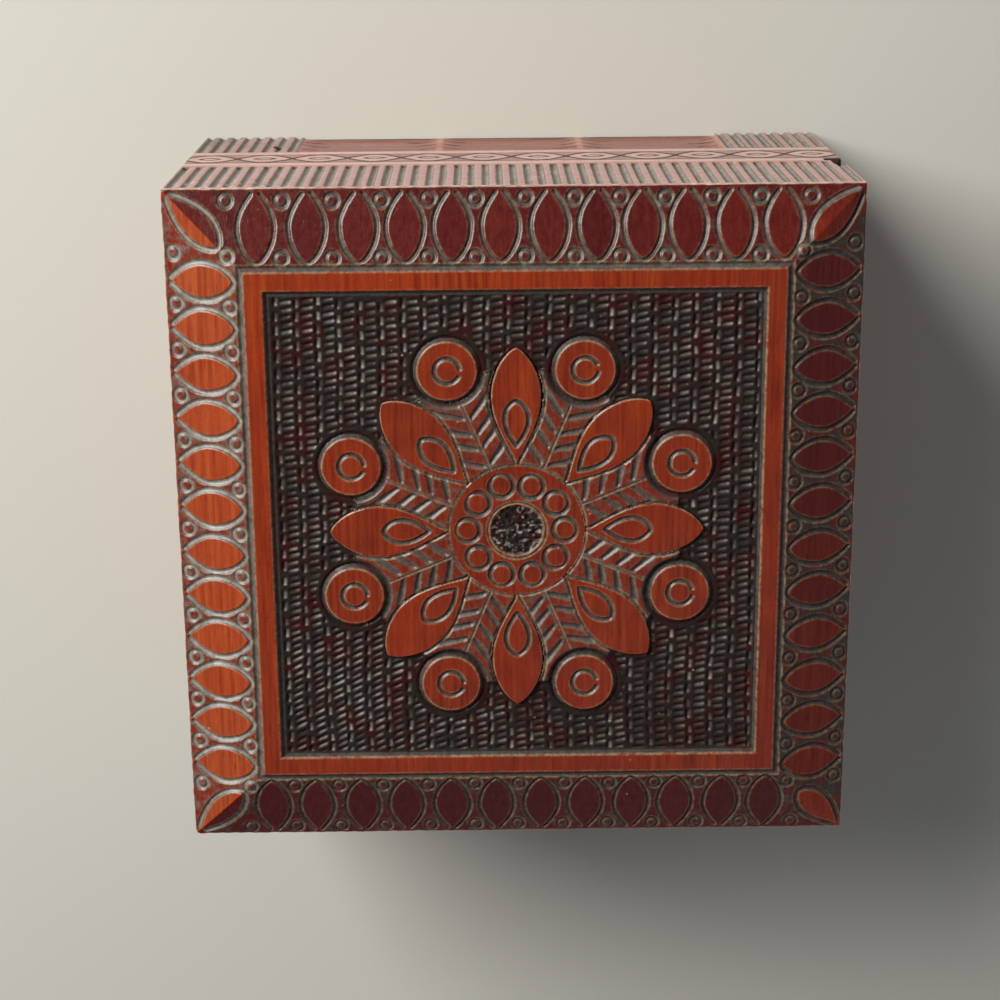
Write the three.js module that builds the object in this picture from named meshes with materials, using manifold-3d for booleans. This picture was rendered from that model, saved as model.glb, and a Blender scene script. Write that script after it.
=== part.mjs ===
// Carved wooden jewelry box with a deep hinged lid.
// Millimetres, +Z up. The origin is the centre of the base's underside.
// The front is at -Y and the hinges are at +Y.

import * as THREE from "three";
import { mergeVertices } from "three/addons/utils/BufferGeometryUtils.js";
import { ConvexGeometry } from "three/addons/geometries/ConvexGeometry.js";
import Module from "manifold-3d";

const wasm = await Module();
wasm.setup();

// Box
const boxWidth = 130; // left to right
const boxDepth = 130; // front to back
const wallThickness = 9;
const baseHeight = 42;
const floorThickness = 5;
const lidWallHeight = 20.7;
const lidBoardThickness = 12;
const lidRise = 4.6; // how far the sloping border climbs from the lid's edge to its flat middle

// Clearances
const seamGap = 0.3; // between the closed lid and the base
const glueLine = 0.05; // between glued mitres and boards
const looseFit = 0.3; // round screws, pins and let-in leaves
const overrun = 2; // how far a cutting shape runs past the face that it cuts

// Flutes that run down every side
const flutePitch = 2.65;
const fluteWidth = 1.4;
const fluteDepth = 0.5;
const fluteStop = 0.8; // plain wood left under the flutes at the lid's lower edge
const fluteEnd = 1; // plain wood left over the flutes at the lid's upper edge
const flutedCorner = 21; // width of the fluted block at each end of a base wall

// Bands and panels on the base walls, from the upper edge down
const rimBand = 4;
const chainBand = 11;
const lowerBand = 3.5;
const chainSink = 0.5;
const chainPitch = 10.95;
const chainOverlap = 0.5; // how far each link passes the middle of the next gap
const linkHeight = 10.2;
const panelCount = 3;
const panelSink = 0.6; // of the whole field between the fluted blocks
const panelDepth = 0.4; // of a scooped panel, below the field
const panelLip = 1.2; // field left under the panels
const panelRamp = 4; // length of the sloping end of a scooped panel
const panelRidge = 1.2; // width of the ridge left between two panels

// Lid carving
const borderWidth = 14.5; // sloping border, from the lid's edge to the frame
const borderSink = 0.5; // ground between the border's leaves
const frameStrip = 3.9;
const groundSink = 1; // sunk ground inside the frame
const leafPitch = 8.86;
const leafWidth = 6;
const leafStart = 1.4; // from the lid's edge
const leafLength = 11.6;
const leafShift = -1.6; // the left side's row of leaves isn't centred
const cornerLeafWidth = 5.9;
const cornerLeafStart = 2.4; // along the diagonal, from the lid's corner
const cornerLeafLength = 12.6;
const petalCount = 8;
const petalStart = 14.9; // from the middle of the lid to the petal's inner tip
const petalLength = 20.8;
const petalWidth = 10.4;
const petalEyeStart = 1.9; // from the petal's inner tip
const petalEyeLength = 8.6;
const petalEyeWidth = 4.6;
const petalEyeDepth = 0.5;
const discCircle = 34.2; // radius of the circle that the round bosses stand on
const discRadius = 5.7;
const discRingRadius = 2.8;
const discRingWidth = 0.8;
const discRingDepth = 0.5;
const hubRadius = 13.4;
const hubMoatOuter = 12.4;
const hubMoatInner = 6.3;
const hubMoatDepth = 0.6;
const hubHollowRadius = 5.5;
const hubHollowDepth = 0.4;
const beadCount = 10;
const beadCircle = 9.4;
const beadRadius = 2.1;
const spineWidth = 1;
const barbCount = 3; // on each side of a spine
const barbWidth = 1.9; // along the spine
const barbPitch = 3.7;
const barbStart = 15; // from the middle of the lid to the first barb
const barbLength = 4.4;
const barbSlant = Math.PI / 3; // from the spine

// Hinges
const hingeInset = 30; // from the box's side to the middle of a hinge
const leafPlateLength = 20;
const leafPlateReach = 7; // how far a leaf reaches in over the wall
const leafPlateThickness = 0.7;
const barrelRadius = 1.6;
const pinRadius = 0.6;
const knuckleGap = 0.3;
const barrelGap = 0.3; // between the barrel and the back of the box
const screwSpacing = 12;
const screwSetback = 4; // from the back of the box
const screwLength = 6;
const screwShankRadius = 0.6;
const screwHeadRadius = 1.25;

// Facets
const fluteSteps = 2; // across a flute
const linkSteps = 4; // on each arc
const leafSteps = 4;
const petalSteps = 5;
const eyeSteps = 3;
const beadSides = 8;
const discSides = 14;
const hubSides = 28;
const barrelSides = 10;
const screwSides = 8;

// Worked out from the sizes above
const lidBottom = baseHeight + seamGap;
const lidBoardBottom = lidBottom + lidWallHeight;
const boxTop = lidBoardBottom + lidBoardThickness;
const lidEdgeTop = boxTop - lidRise;
const chainTop = baseHeight - rimBand;
const chainBottom = chainTop - chainBand;
const panelTop = chainBottom - lowerBand;
const borderSlope = lidRise / borderWidth;
const fluteRadius = (fluteWidth ** 2 / 4 + fluteDepth ** 2) / (2 * fluteDepth);
const boreRadius = pinRadius + looseFit;

// Colours and finishes
const lidBoardColour = 0x8a3420;
const lidWallColour = 0x7a3b30;
const baseWallColour = 0x7d4034;
const floorColour = 0x8f5a3c;
const brassColour = 0xb08d4f;
const lacquerRoughness = 0.45;
const bareWoodRoughness = 0.7;
const brassRoughness = 0.35;

function wood(color, roughness) {
  return new THREE.MeshStandardMaterial({ color, roughness, metalness: 0 });
}

function brass() {
  return new THREE.MeshStandardMaterial({ color: brassColour, roughness: brassRoughness, metalness: 1 });
}

// Solids
function solidOf(geometry) {
  const bare = geometry.clone();
  bare.deleteAttribute("normal");
  bare.deleteAttribute("uv");
  const merged = mergeVertices(bare);
  const index = [];
  for (let i = 0; i < merged.index.count; i += 3) {
    const [a, b, c] = [0, 1, 2].map((k) => merged.index.getX(i + k));
    if (a !== b && b !== c && c !== a) index.push(a, b, c);
  }
  const vertProperties = Float32Array.from(merged.attributes.position.array);
  const triVerts = Uint32Array.from(index);
  return new wasm.Manifold(new wasm.Mesh({ numProp: 3, vertProperties, triVerts }));
}

function geometryOf(solid) {
  const mesh = solid.getMesh();
  const indexed = new THREE.BufferGeometry();
  indexed.setAttribute("position", new THREE.BufferAttribute(mesh.vertProperties, 3));
  indexed.setIndex(new THREE.BufferAttribute(mesh.triVerts, 1));
  const geometry = indexed.toNonIndexed();
  geometry.computeVertexNormals();
  return geometry;
}

const joined = (geometries) => geometries.map(solidOf).reduce((all, next) => all.add(next));

function prism(points, low, high) {
  const shape = new THREE.Shape(points.map(([x, y]) => new THREE.Vector2(x, y)));
  const geometry = new THREE.ExtrudeGeometry(shape, { depth: high - low, bevelEnabled: false });
  return geometry.translate(0, 0, low);
}

function block(xLow, xHigh, yLow, yHigh, zLow, zHigh) {
  const geometry = new THREE.BoxGeometry(xHigh - xLow, yHigh - yLow, zHigh - zLow);
  return geometry.translate((xLow + xHigh) / 2, (yLow + yHigh) / 2, (zLow + zHigh) / 2);
}

function post(radius, low, high, sides) {
  const geometry = new THREE.CylinderGeometry(radius, radius, high - low, sides);
  return geometry.rotateX(Math.PI / 2).translate(0, 0, (low + high) / 2);
}

// Pointed oval along X from its first tip, made of two arcs
function pointedOval(start, length, width, steps) {
  const rise = width / 2;
  const radius = (length ** 2 / 4 + rise ** 2) / (2 * rise);
  const half = Math.asin(length / 2 / radius);
  const points = [];
  for (const side of [-1, 1]) {
    for (let i = 0; i < steps; i++) {
      const angle = -half + (2 * half * i) / steps;
      const x = start + length / 2 - side * radius * Math.sin(angle);
      points.push([x, side * (radius * Math.cos(angle) - radius + rise)]);
    }
  }
  return points.reverse();
}

const count = (length, pitch) => Math.floor(length / pitch);

// Places of a row about 0, and angles round a circle
function spread(number, pitch) {
  return Array.from({ length: number }, (_, i) => (i - (number - 1) / 2) * pitch);
}

function ring(number, start = 0) {
  return Array.from({ length: number }, (_, i) => start + (2 * Math.PI * i) / number);
}

// One side of the box, with its outer face at y = -reach and the outside towards -Y
function flutes(length, reach, low, high, keep = () => true) {
  const half = Math.asin(fluteWidth / 2 / fluteRadius);
  const section = [
    [fluteWidth / 2, -overrun],
    [-fluteWidth / 2, -overrun],
  ];
  for (let i = 0; i <= fluteSteps; i++) {
    const angle = -half + (2 * half * i) / fluteSteps;
    section.push([fluteRadius * Math.sin(angle), fluteDepth - fluteRadius + fluteRadius * Math.cos(angle)]);
  }
  return spread(count(length, flutePitch), flutePitch)
    .filter(keep)
    .map((x) => prism(section, low, high).translate(x, -reach, 0));
}

function mitredWall(length, reach, low, high) {
  const outer = length / 2 - glueLine;
  const inner = outer - wallThickness;
  const points = [
    [-outer, -reach],
    [outer, -reach],
    [inner, wallThickness - reach],
    [-inner, wallThickness - reach],
  ];
  return solidOf(prism(points, low, high));
}

// Points of the wall's face (x, z), pushed out of the face or cut into it
function onFace(points, reach, depthIn, depthOut) {
  const geometry = prism(points, 0, depthIn + depthOut);
  return geometry.rotateX(Math.PI / 2).translate(0, depthIn - reach, 0);
}

function lift(points, x, z) {
  return points.map(([px, pz]) => [px + x, pz + z]);
}

function chainLinks(length, reach) {
  const middle = (chainTop + chainBottom) / 2;
  const linkLength = chainPitch + 2 * chainOverlap;
  const link = pointedOval(-linkLength / 2, linkLength, linkHeight, linkSteps);
  const places = spread(Math.round(length / chainPitch), chainPitch);
  return joined(places.map((x) => onFace(lift(link, x, middle), reach, chainSink + glueLine, 0)));
}

function panelCuts(length, reach) {
  const pitch = (length - 2 * flutedCorner) / panelCount;
  return spread(panelCount, pitch).map((x) => {
    const half = (pitch - panelRidge) / 2;
    const outline = [
      [x - half, panelSink - reach],
      [x - half, -reach - overrun],
      [x + half, -reach - overrun],
      [x + half, panelSink - reach],
      [x + half - panelRamp, panelSink + panelDepth - reach],
      [x - half + panelRamp, panelSink + panelDepth - reach],
    ];
    return prism(outline, panelLip, panelTop);
  });
}

function baseWall(length, reach) {
  const field = length / 2 - flutedCorner;
  const inCorner = (x) => Math.abs(x) > field;
  let solid = mitredWall(length, reach, 0, baseHeight);
  const strip = block(-length, length, -reach - overrun, chainSink - reach, chainBottom, chainTop);
  solid = solid.subtract(solidOf(strip));
  const within = mitredWall(length, reach, chainBottom, chainTop);
  solid = solid.add(chainLinks(length, reach).intersect(within));
  solid = solid.subtract(joined(flutes(length, reach, -overrun, panelTop, inCorner)));
  const sunk = block(-field, field, -reach - overrun, panelSink - reach, -overrun, panelTop);
  return solid.subtract(joined([sunk, ...panelCuts(length, reach)]));
}

function lidWall(length, reach) {
  const solid = mitredWall(length, reach, lidBottom, lidBoardBottom);
  return solid.subtract(joined(flutes(length, reach, lidBottom + fluteStop, lidBoardBottom + overrun)));
}

// Lid board: the whole board cut down to its ground, with the motifs left standing at its first surface
function roof(drop, flatAt) {
  const points = [];
  const climb = (flatAt - (lidEdgeTop - drop)) / borderSlope;
  for (const [inset, z] of [
    [0, lidBoardBottom],
    [0, lidEdgeTop - drop],
    [climb, flatAt],
  ]) {
    for (const sx of [-1, 1]) {
      for (const sy of [-1, 1]) {
        points.push(new THREE.Vector3(sx * (boxWidth / 2 - inset), sy * (boxDepth / 2 - inset), z));
      }
    }
  }
  return solidOf(new ConvexGeometry(points));
}

function borderLeaves() {
  const low = lidEdgeTop - lidRise;
  const high = boxTop + overrun;
  const leaves = [];
  for (const [length, reach, turn, name] of sides) {
    const shift = name === "left" ? leafShift : 0;
    const number = count(length - 2 * borderWidth + leafPitch, leafPitch);
    for (const x of spread(number, leafPitch)) {
      const leaf = prism(pointedOval(leafStart - reach, leafLength, leafWidth, leafSteps), low, high);
      leaves.push(leaf.rotateZ(Math.PI / 2).translate(x + shift, 0, 0).rotateZ(turn));
    }
  }
  const cornerLeaf = pointedOval(cornerLeafStart, cornerLeafLength, cornerLeafWidth, leafSteps);
  for (const sx of [-1, 1]) {
    for (const sy of [-1, 1]) {
      const leaf = prism(cornerLeaf, low, high);
      leaf.rotateZ(Math.atan2(-sy, -sx));
      leaves.push(leaf.translate((sx * boxWidth) / 2, (sy * boxDepth) / 2, 0));
    }
  }
  return leaves;
}

// Spine with slanting barbs on both sides, from the hub to a disc
function feather(low, high) {
  const start = hubRadius - glueLine;
  const tip = discCircle - discRadius + glueLine;
  const edge = spineWidth / 2;
  const out = barbLength * Math.cos(barbSlant);
  const end = edge + barbLength * Math.sin(barbSlant);
  const side = [[start, edge]];
  for (let i = 0; i < barbCount; i++) {
    const root = barbStart + i * barbPitch;
    side.push([root, edge], [root + out, end], [root + out + barbWidth, end], [root + barbWidth, edge]);
  }
  side.push([tip, edge]);
  const mirrored = side.map(([x, y]) => [x, -y]);
  return prism([...mirrored, ...side.reverse()], low, high);
}

function lidBoard() {
  const low = lidEdgeTop;
  const high = boxTop + overrun;
  const frameX = boxWidth / 2 - borderWidth;
  const frameY = boxDepth / 2 - borderWidth;
  const innerX = frameX - frameStrip;
  const innerY = frameY - frameStrip;
  const frame = solidOf(block(-frameX, frameX, -frameY, frameY, low, high)).subtract(
    solidOf(block(-innerX, innerX, -innerY, innerY, low - overrun, high + overrun)),
  );
  const between = Math.PI / petalCount;
  const around = (start, make) => ring(petalCount, start).map((angle) => make().rotateZ(angle));
  const petal = pointedOval(petalStart, petalLength, petalWidth, petalSteps);
  const petals = around(0, () => prism(petal, low, high));
  const discs = around(between, () => post(discRadius, low, high, discSides).translate(discCircle, 0, 0));
  const feathers = around(between, () => feather(low, high));
  const hub = post(hubRadius, low, high, hubSides);
  const motifs = joined([...borderLeaves(), ...petals, ...discs, ...feathers, hub]).add(frame);

  const beads = ring(beadCount, Math.PI / beadCount).map((angle) =>
    post(beadRadius, low, high + overrun, beadSides).translate(beadCircle, 0, 0).rotateZ(angle),
  );
  const moat = solidOf(post(hubMoatOuter, boxTop - hubMoatDepth, high, hubSides))
    .subtract(solidOf(post(hubMoatInner, low, high + overrun, hubSides)))
    .subtract(joined(beads));
  const hollow = solidOf(post(hubHollowRadius, boxTop - hubHollowDepth, high, discSides));
  const petalEye = pointedOval(petalStart + petalEyeStart, petalEyeLength, petalEyeWidth, eyeSteps);
  const petalEyes = joined(around(0, () => prism(petalEye, boxTop - petalEyeDepth, high)));
  const discRing = solidOf(post(discRingRadius, boxTop - discRingDepth, high, beadSides)).subtract(
    solidOf(post(discRingRadius - discRingWidth, low, high + overrun, beadSides)),
  );
  let board = roof(borderSink, boxTop - groundSink).add(roof(0, boxTop).intersect(motifs));
  board = board.subtract(moat).subtract(hollow).subtract(petalEyes);
  for (const angle of ring(petalCount, between)) {
    const centre = [discCircle * Math.cos(angle), discCircle * Math.sin(angle), 0];
    board = board.subtract(discRing.translate(centre));
  }
  const edge = sides.flatMap(([length, reach, turn]) =>
    flutes(length, reach, lidBoardBottom - overrun, lidEdgeTop - fluteEnd).map((tool) => tool.rotateZ(turn)),
  );
  return board.subtract(joined(edge));
}

// Length of each side, distance from the middle to its face, and its turn about the vertical
const sides = [
  [boxWidth, boxDepth / 2, 0, "front"],
  [boxDepth, boxWidth / 2, Math.PI / 2, "right"],
  [boxWidth, boxDepth / 2, Math.PI, "back"],
  [boxDepth, boxWidth / 2, -Math.PI / 2, "left"],
];

// Hinges, drawn at the front and turned to the back with their wall
const backReach = boxDepth / 2;
const hingeY = -(backReach + barrelGap + barrelRadius);
const hingeZ = baseHeight + seamGap / 2;
const hingePlaces = [
  [hingeInset - boxWidth / 2, "right"],
  [boxWidth / 2 - hingeInset, "left"],
];
const knuckleLength = (leafPlateLength - 2 * knuckleGap) / 3;

function barrelPart(radius, xLow, xHigh, sidesOfBarrel = barrelSides) {
  const geometry = new THREE.CylinderGeometry(radius, radius, xHigh - xLow, sidesOfBarrel);
  return geometry.rotateZ(Math.PI / 2).translate((xLow + xHigh) / 2, hingeY, hingeZ);
}

// A screw standing on its tip's axis, with its head's face at z = 0 and its tip below
function screwProfile(grow, above = 0) {
  const headDepth = screwHeadRadius - screwShankRadius;
  return [
    [0, -screwLength - grow],
    [screwShankRadius + grow, -screwLength - grow],
    [screwShankRadius + grow, -headDepth],
    [screwHeadRadius + grow, 0],
    [screwHeadRadius + grow, above],
    [0, above],
  ].map(([r, z]) => new THREE.Vector2(r, z));
}

function lathed(profile) {
  const points = profile.filter((p, i) => i === 0 || !p.equals(profile[i - 1]));
  return new THREE.LatheGeometry(points, screwSides).rotateX(Math.PI / 2);
}

// Leaf of a hinge about x = 0: the base leaf carries the outer knuckles and the lid leaf the middle one
function hingeLeaf(isLid) {
  const half = leafPlateLength / 2;
  const low = isLid ? lidBottom : baseHeight - leafPlateThickness;
  const high = low + leafPlateThickness;
  const plate = solidOf(block(-half, half, hingeY, leafPlateReach - backReach, low, high));
  const middle = [-knuckleLength / 2, knuckleLength / 2];
  const outer = [
    [-half, -half + knuckleLength],
    [half - knuckleLength, half],
  ];
  const own = isLid ? [middle] : outer;
  const other = isLid ? outer : [middle];
  let leaf = plate;
  for (const [a, b] of other) {
    leaf = leaf.subtract(solidOf(barrelPart(barrelRadius + looseFit, a - knuckleGap, b + knuckleGap)));
  }
  for (const [a, b] of own) leaf = leaf.add(solidOf(barrelPart(barrelRadius, a, b)));
  leaf = leaf.subtract(solidOf(barrelPart(boreRadius, -half - overrun, half + overrun)));
  return leaf.subtract(joined(screwHoles(isLid)));
}

function screwHoles(isLid) {
  return spread(2, screwSpacing).map((x) => placedScrew(lathed(screwProfile(looseFit, overrun)), isLid, x));
}

function placedScrew(geometry, isLid, x) {
  if (isLid) geometry.rotateX(Math.PI);
  return geometry.translate(x, screwSetback - backReach, isLid ? lidBottom : baseHeight);
}

// What the two hinges need cut from the back wall of the lid or the base
function hingeSeats(isLid) {
  const half = leafPlateLength / 2 + looseFit;
  const low = isLid ? lidBottom - overrun : baseHeight - leafPlateThickness;
  const high = isLid ? lidBottom + leafPlateThickness : baseHeight + overrun;
  const seat = block(-half, half, -backReach - overrun, leafPlateReach + looseFit - backReach, low, high);
  const tools = [seat, ...screwHoles(isLid)];
  return hingePlaces.flatMap(([x]) => tools.map((tool) => tool.clone().translate(x, 0, 0)));
}

// The box
const box = new THREE.Group();

function place(parent, name, geometry, material) {
  const mesh = new THREE.Mesh(geometry, material);
  mesh.name = name;
  parent.add(mesh);
  return mesh;
}

for (const [length, reach, turn, name] of sides) {
  const side = new THREE.Group();
  side.rotation.z = turn;
  box.add(side);
  let lower = baseWall(length, reach);
  let upper = lidWall(length, reach);
  if (name === "back") {
    lower = lower.subtract(joined(hingeSeats(false)));
    upper = upper.subtract(joined(hingeSeats(true)));
  }
  place(side, `base_wall_${name}`, geometryOf(lower), wood(baseWallColour, lacquerRoughness));
  place(side, `lid_wall_${name}`, geometryOf(upper), wood(lidWallColour, lacquerRoughness));
  if (name === "back") {
    for (const [x, hand] of hingePlaces) {
      const hinge = new THREE.Group();
      hinge.position.x = x;
      side.add(hinge);
      place(hinge, `hinge_${hand}_base_leaf`, geometryOf(hingeLeaf(false)), brass());
      place(hinge, `hinge_${hand}_lid_leaf`, geometryOf(hingeLeaf(true)), brass());
      const pin = barrelPart(pinRadius, -leafPlateLength / 2, leafPlateLength / 2);
      place(hinge, `hinge_${hand}_pin`, pin, brass());
      for (const part of ["base", "lid"]) {
        spread(2, screwSpacing).forEach((at, i) => {
          const screw = placedScrew(lathed(screwProfile(0)), part === "lid", at);
          place(hinge, `hinge_${hand}_${part}_screw_${i + 1}`, screw, brass());
        });
      }
    }
  }
}

place(box, "lid_board", geometryOf(lidBoard()), wood(lidBoardColour, lacquerRoughness));

const floorX = boxWidth / 2 - wallThickness - glueLine;
const floorY = boxDepth / 2 - wallThickness - glueLine;
const floor = block(-floorX, floorX, -floorY, floorY, 0, floorThickness);
place(box, "base_floor", floor, wood(floorColour, bareWoodRoughness));

export default box;
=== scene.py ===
"""Carved wooden jewelry box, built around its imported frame.

Lengths are in metres. +Z is up, the front is at -Y and the hinges are at +Y.
"""

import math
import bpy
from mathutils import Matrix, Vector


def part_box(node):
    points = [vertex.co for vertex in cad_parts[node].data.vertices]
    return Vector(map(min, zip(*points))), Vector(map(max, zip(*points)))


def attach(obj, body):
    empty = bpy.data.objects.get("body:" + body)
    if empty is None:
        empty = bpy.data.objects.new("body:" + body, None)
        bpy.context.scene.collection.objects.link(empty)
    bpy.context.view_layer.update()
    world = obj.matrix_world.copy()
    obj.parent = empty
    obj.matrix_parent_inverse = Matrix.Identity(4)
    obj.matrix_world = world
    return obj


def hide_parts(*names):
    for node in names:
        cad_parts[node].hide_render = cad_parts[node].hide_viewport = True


bl_info = {
    "name": "Carved Jewelry Box",
    "version": (1, 0, 0),
    "blender": (4, 5, 0),
    "location": "View3D > Sidebar > Jewelry Box",
    "description": "Builds the carved jewelry box and its stage around the packed frame",
    "category": "Object",
}

import bpy
import numpy as np
from mathutils import Matrix, Vector

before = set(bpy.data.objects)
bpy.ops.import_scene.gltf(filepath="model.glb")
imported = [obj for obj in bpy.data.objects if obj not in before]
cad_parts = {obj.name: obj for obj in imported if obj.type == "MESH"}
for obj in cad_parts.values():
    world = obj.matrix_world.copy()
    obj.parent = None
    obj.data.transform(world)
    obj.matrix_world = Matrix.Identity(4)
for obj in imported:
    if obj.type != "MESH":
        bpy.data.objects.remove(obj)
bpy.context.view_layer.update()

MM = 0.001
SIDES = ("front", "right", "back", "left")


# Sizes read from the frame
lid_low, lid_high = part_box("lid_board")
BASE_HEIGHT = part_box("base_wall_left")[1][2]
LID_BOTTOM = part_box("lid_wall_left")[0][2]
BOARD_BOTTOM = lid_low[2]
BOX_TOP = lid_high[2]
HALF = (lid_high[0] - lid_low[0]) / 2


def length(name, description, default):
    """Property that holds a length"""
    return bpy.props.FloatProperty(name=name, description=description, default=default, min=0, unit="LENGTH")


def colour(name, description, default):
    """Property that holds a colour"""
    return bpy.props.FloatVectorProperty(
        name=name, description=description, default=default, size=3, subtype="COLOR", min=0, max=1
    )


class BoxSizes(bpy.types.PropertyGroup):
    """Sizes of the carving that can be changed"""

    wall: length("Wall", "Thickness of the walls", 9 * MM)
    border: length("Border", "Width of the sloping leaf border", 14.75 * MM)
    rise: length("Rise", "Climb of the sloping border", 4.6 * MM)
    strip: length("Strip", "Width of the raised frame", 3.8 * MM)
    ground: length("Ground", "Depth of the woven ground", 0.75 * MM)
    leaf_pitch: length("Leaf pitch", "Distance between border leaves", 8.86 * MM)
    flute_pitch: length("Flute pitch", "Distance between flutes", 2.65 * MM)
    flute_width: length("Flute width", "Width of one flute", 1.6 * MM)
    flute_depth: length("Flute depth", "Depth of one flute", 0.5 * MM)
    panel_sink: length("Panel sink", "Depth of the panels' field", 0.6 * MM)
    link_pitch: length("Link pitch", "Distance between links of the chain band", 10.95 * MM)
    step: length("Carving step", "Distance between points of a carved face", 0.2 * MM)


class BoxColours(bpy.types.PropertyGroup):
    """Colours of the finishes"""

    # The light stain is the front border's colour, made light as painted light falling on that slope
    orange: colour("Light stain", "Stain on the lightest border", (0.36, 0.056, 0.017))
    red: colour("Red stain", "Stain on the frame and the rosette", (0.35, 0.036, 0.007))
    wine: colour("Dark stain", "Stain on the dark wood", (0.082, 0.007, 0.008))
    hollow: colour("Hollows", "Colour in the lid's cuts", (0.04, 0.034, 0.029))
    rim: colour("Worn edges", "Bare wood along the rims of the cuts", (0.4, 0.27, 0.15))
    # The walls' colours are paler and pinker than their wood: painted sheen, as the walls shine at a grazing
    # view, over the wood's own colour
    side_light: colour("Side, light", "Lightest wood on the walls", (0.45, 0.18, 0.15))
    side: colour("Side", "Wood on the walls", (0.33, 0.12, 0.1))
    side_dark: colour("Side, dark", "Darkest wood on the walls", (0.14, 0.04, 0.035))
    side_hollow: colour("Side, hollows", "Colour in the walls' cuts", (0.1, 0.09, 0.078))
    side_rim: colour("Side, worn edges", "Bare wood along the walls' worn edges", (0.62, 0.5, 0.4))
    # This pale colour is dust and worn lacquer in the cuts, and also painted highlight where light catches
    # the cuts' floors and walls
    dust_and_highlight: colour("Dust", "Pale dust and worn lacquer in the cuts", (0.4, 0.385, 0.34))
    inside: colour("Inside", "Plain wood inside", (0.36, 0.17, 0.08))
    brass: colour("Brass", "Hinges and screws", (0.62, 0.43, 0.17))
    backdrop: colour("Backdrop", "Floor and background", (0.62, 0.62, 0.56))


def sizes():
    """Sizes set in the scene, in metres"""
    return bpy.context.scene.box_sizes


def colours():
    """Colours set in the scene"""
    return bpy.context.scene.box_colours


# Carving, with all its lengths in millimetres
#
# On the lid, x and y are the frame's own, a runs along +Y and b along -X,
# and r is the distance from the middle.
# On a side, s runs along it, t in from the lid's edge and z up.

RANDOM = np.random.RandomState(7)
LATTICE = RANDOM.rand(257, 257)
LEAF_COUNT = 12
LEAF_SHIFT = RANDOM.uniform(-0.2, 0.2, (4, LEAF_COUNT))
LEAF_GROW = RANDOM.uniform(-0.1, 0.1, (4, LEAF_COUNT))
RING_SHIFT = RANDOM.uniform(-0.18, 0.18, (4, 2, LEAF_COUNT + 1, 2))
STRAYS = 128
MIDDLE_FLUTE = STRAYS // 2
FLUTE_SHIFT = RANDOM.uniform(-0.12, 0.12, (8, STRAYS))
FLUTE_GROW = RANDOM.uniform(0.9, 1.1, (8, STRAYS))
STAMP = RANDOM.uniform(-1, 1, (4, STRAYS, STRAYS))

# How the hand's work differs from side to side, in the order of SIDES; some of these values also paint light
# and shade by side
ROW_SHIFT = (0.22, 0.1, -0.2, 0.0)
ROW_STRETCH = (0.9933, 1.004, 1.008, 1.0)
END_GAPS = ((-53.3, 53.4), (-53.6, 54.6), (-53.4, 54.1), (-54.5, 53.1))
LEAF_HALF = (3.72, 3.5, 3.5, 3.5)
LEAF_END = (13.3, 13.4, 13.2, 13.4)
LEAF_OPEN = (0.55, 0.7, 0.5, 0.8)
LEAF_GROOVE = (1.3, 0.85, 1.15, 1.05)
# The front border's light leaf and ground tones are painted light falling on that slope; the darker tones of
# the other borders are partly painted shade and partly darker stain
LEAF_TONE = (0.95, 0.02, 0.09, 0.05)
LEAF_VARY = (0.04, 0.04, 0.05, 0.08)
# Pale dust and painted highlight in each border's grooves; the front border's grooves, on the lamp's side,
# are painted lightest
GROOVE_DUST_AND_HIGHLIGHT = (0.75, 0.22, 0.1, 0.17)
BETWEEN_DARK = (0.55, 0.55, 1.1, 0.3)
BETWEEN_TONE = (0.34, 0.05, 0.2, 0.04)
BORDER_MATTE = (0.05, 0.45, 0.4, 0.15)
RING_IN = (0.0, -0.1, 0.0, 0.25)
RING_WIDTH = (0.98, 0.8, 0.9, 0.95)
CORNER_ROUND = (1.3, 0.8, 0.45, 0.6)

# How far back each leaf of the left side's uneven row stands
LEFT_ROW = (0.65, 0.65, 0.75, 1.3, 1.8, 1.9, 1.7, 1.7, 1.9, 2.2, 1.65, 1.1)

# Places in the border, in from the lid's edge or from its corner
LEAF_START = 1.05
LEAF_WIDEST = 6.9
RING_ROWS = (1.95, 12.2)
RING_RADIUS = 1.2
CORNER_LEAF_END = 14.9

# Places in the rosette, out from the lid's middle
PETAL_ROOT = 13.2
PETAL_WIDEST = 26.2
PETAL_TIP = 35.5
PETAL_HALF = 5.15
PETAL_GROW = (0.98, 1.0, 0.91, 1.0, 0.98, 1.0, 0.94, 1.0)
FEATHER_ROOT = 13.0
FEATHER_TIP = 28.4
FEATHER_PITCH = 3.2
BOSS_PLACE = 33.8
GROUND_START = 31.0
EIGHTH = math.pi / 4

# Groove round a boss, out from the boss's middle
BOSS_REACH = 6.37
TRENCH_PLACE = 6.45
TRENCH_HALF = 0.9
TRENCH_DEPTH = 1.1

# Stamped pattern of the ground
COLUMN_PITCH = 3.9
BAR_PITCH = 1.41
DASH_PITCH = 2.72


def ease(value, low, high):
    """0 below low, 1 above high, smooth between"""
    t = np.clip((value - low) / (high - low), 0, 1)
    return t * t * (3 - 2 * t)


def noise(a, b, cell, shift=0.0):
    """Smooth value noise from -1 to 1 over cells of that size"""
    p = a / cell + 61.7 + shift
    q = b / cell + 37.3 + 1.7 * shift
    i = np.floor(p).astype(int)
    j = np.floor(q).astype(int)
    f = p - i
    g = q - j
    f = f * f * (3 - 2 * f)
    g = g * g * (3 - 2 * g)
    n = LATTICE.shape[0]
    c00 = LATTICE[i % n, j % n]
    c10 = LATTICE[(i + 1) % n, j % n]
    c01 = LATTICE[i % n, (j + 1) % n]
    c11 = LATTICE[(i + 1) % n, (j + 1) % n]
    return 2 * ((c00 * (1 - f) + c10 * f) * (1 - g) + (c01 * (1 - f) + c11 * f) * g) - 1


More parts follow.
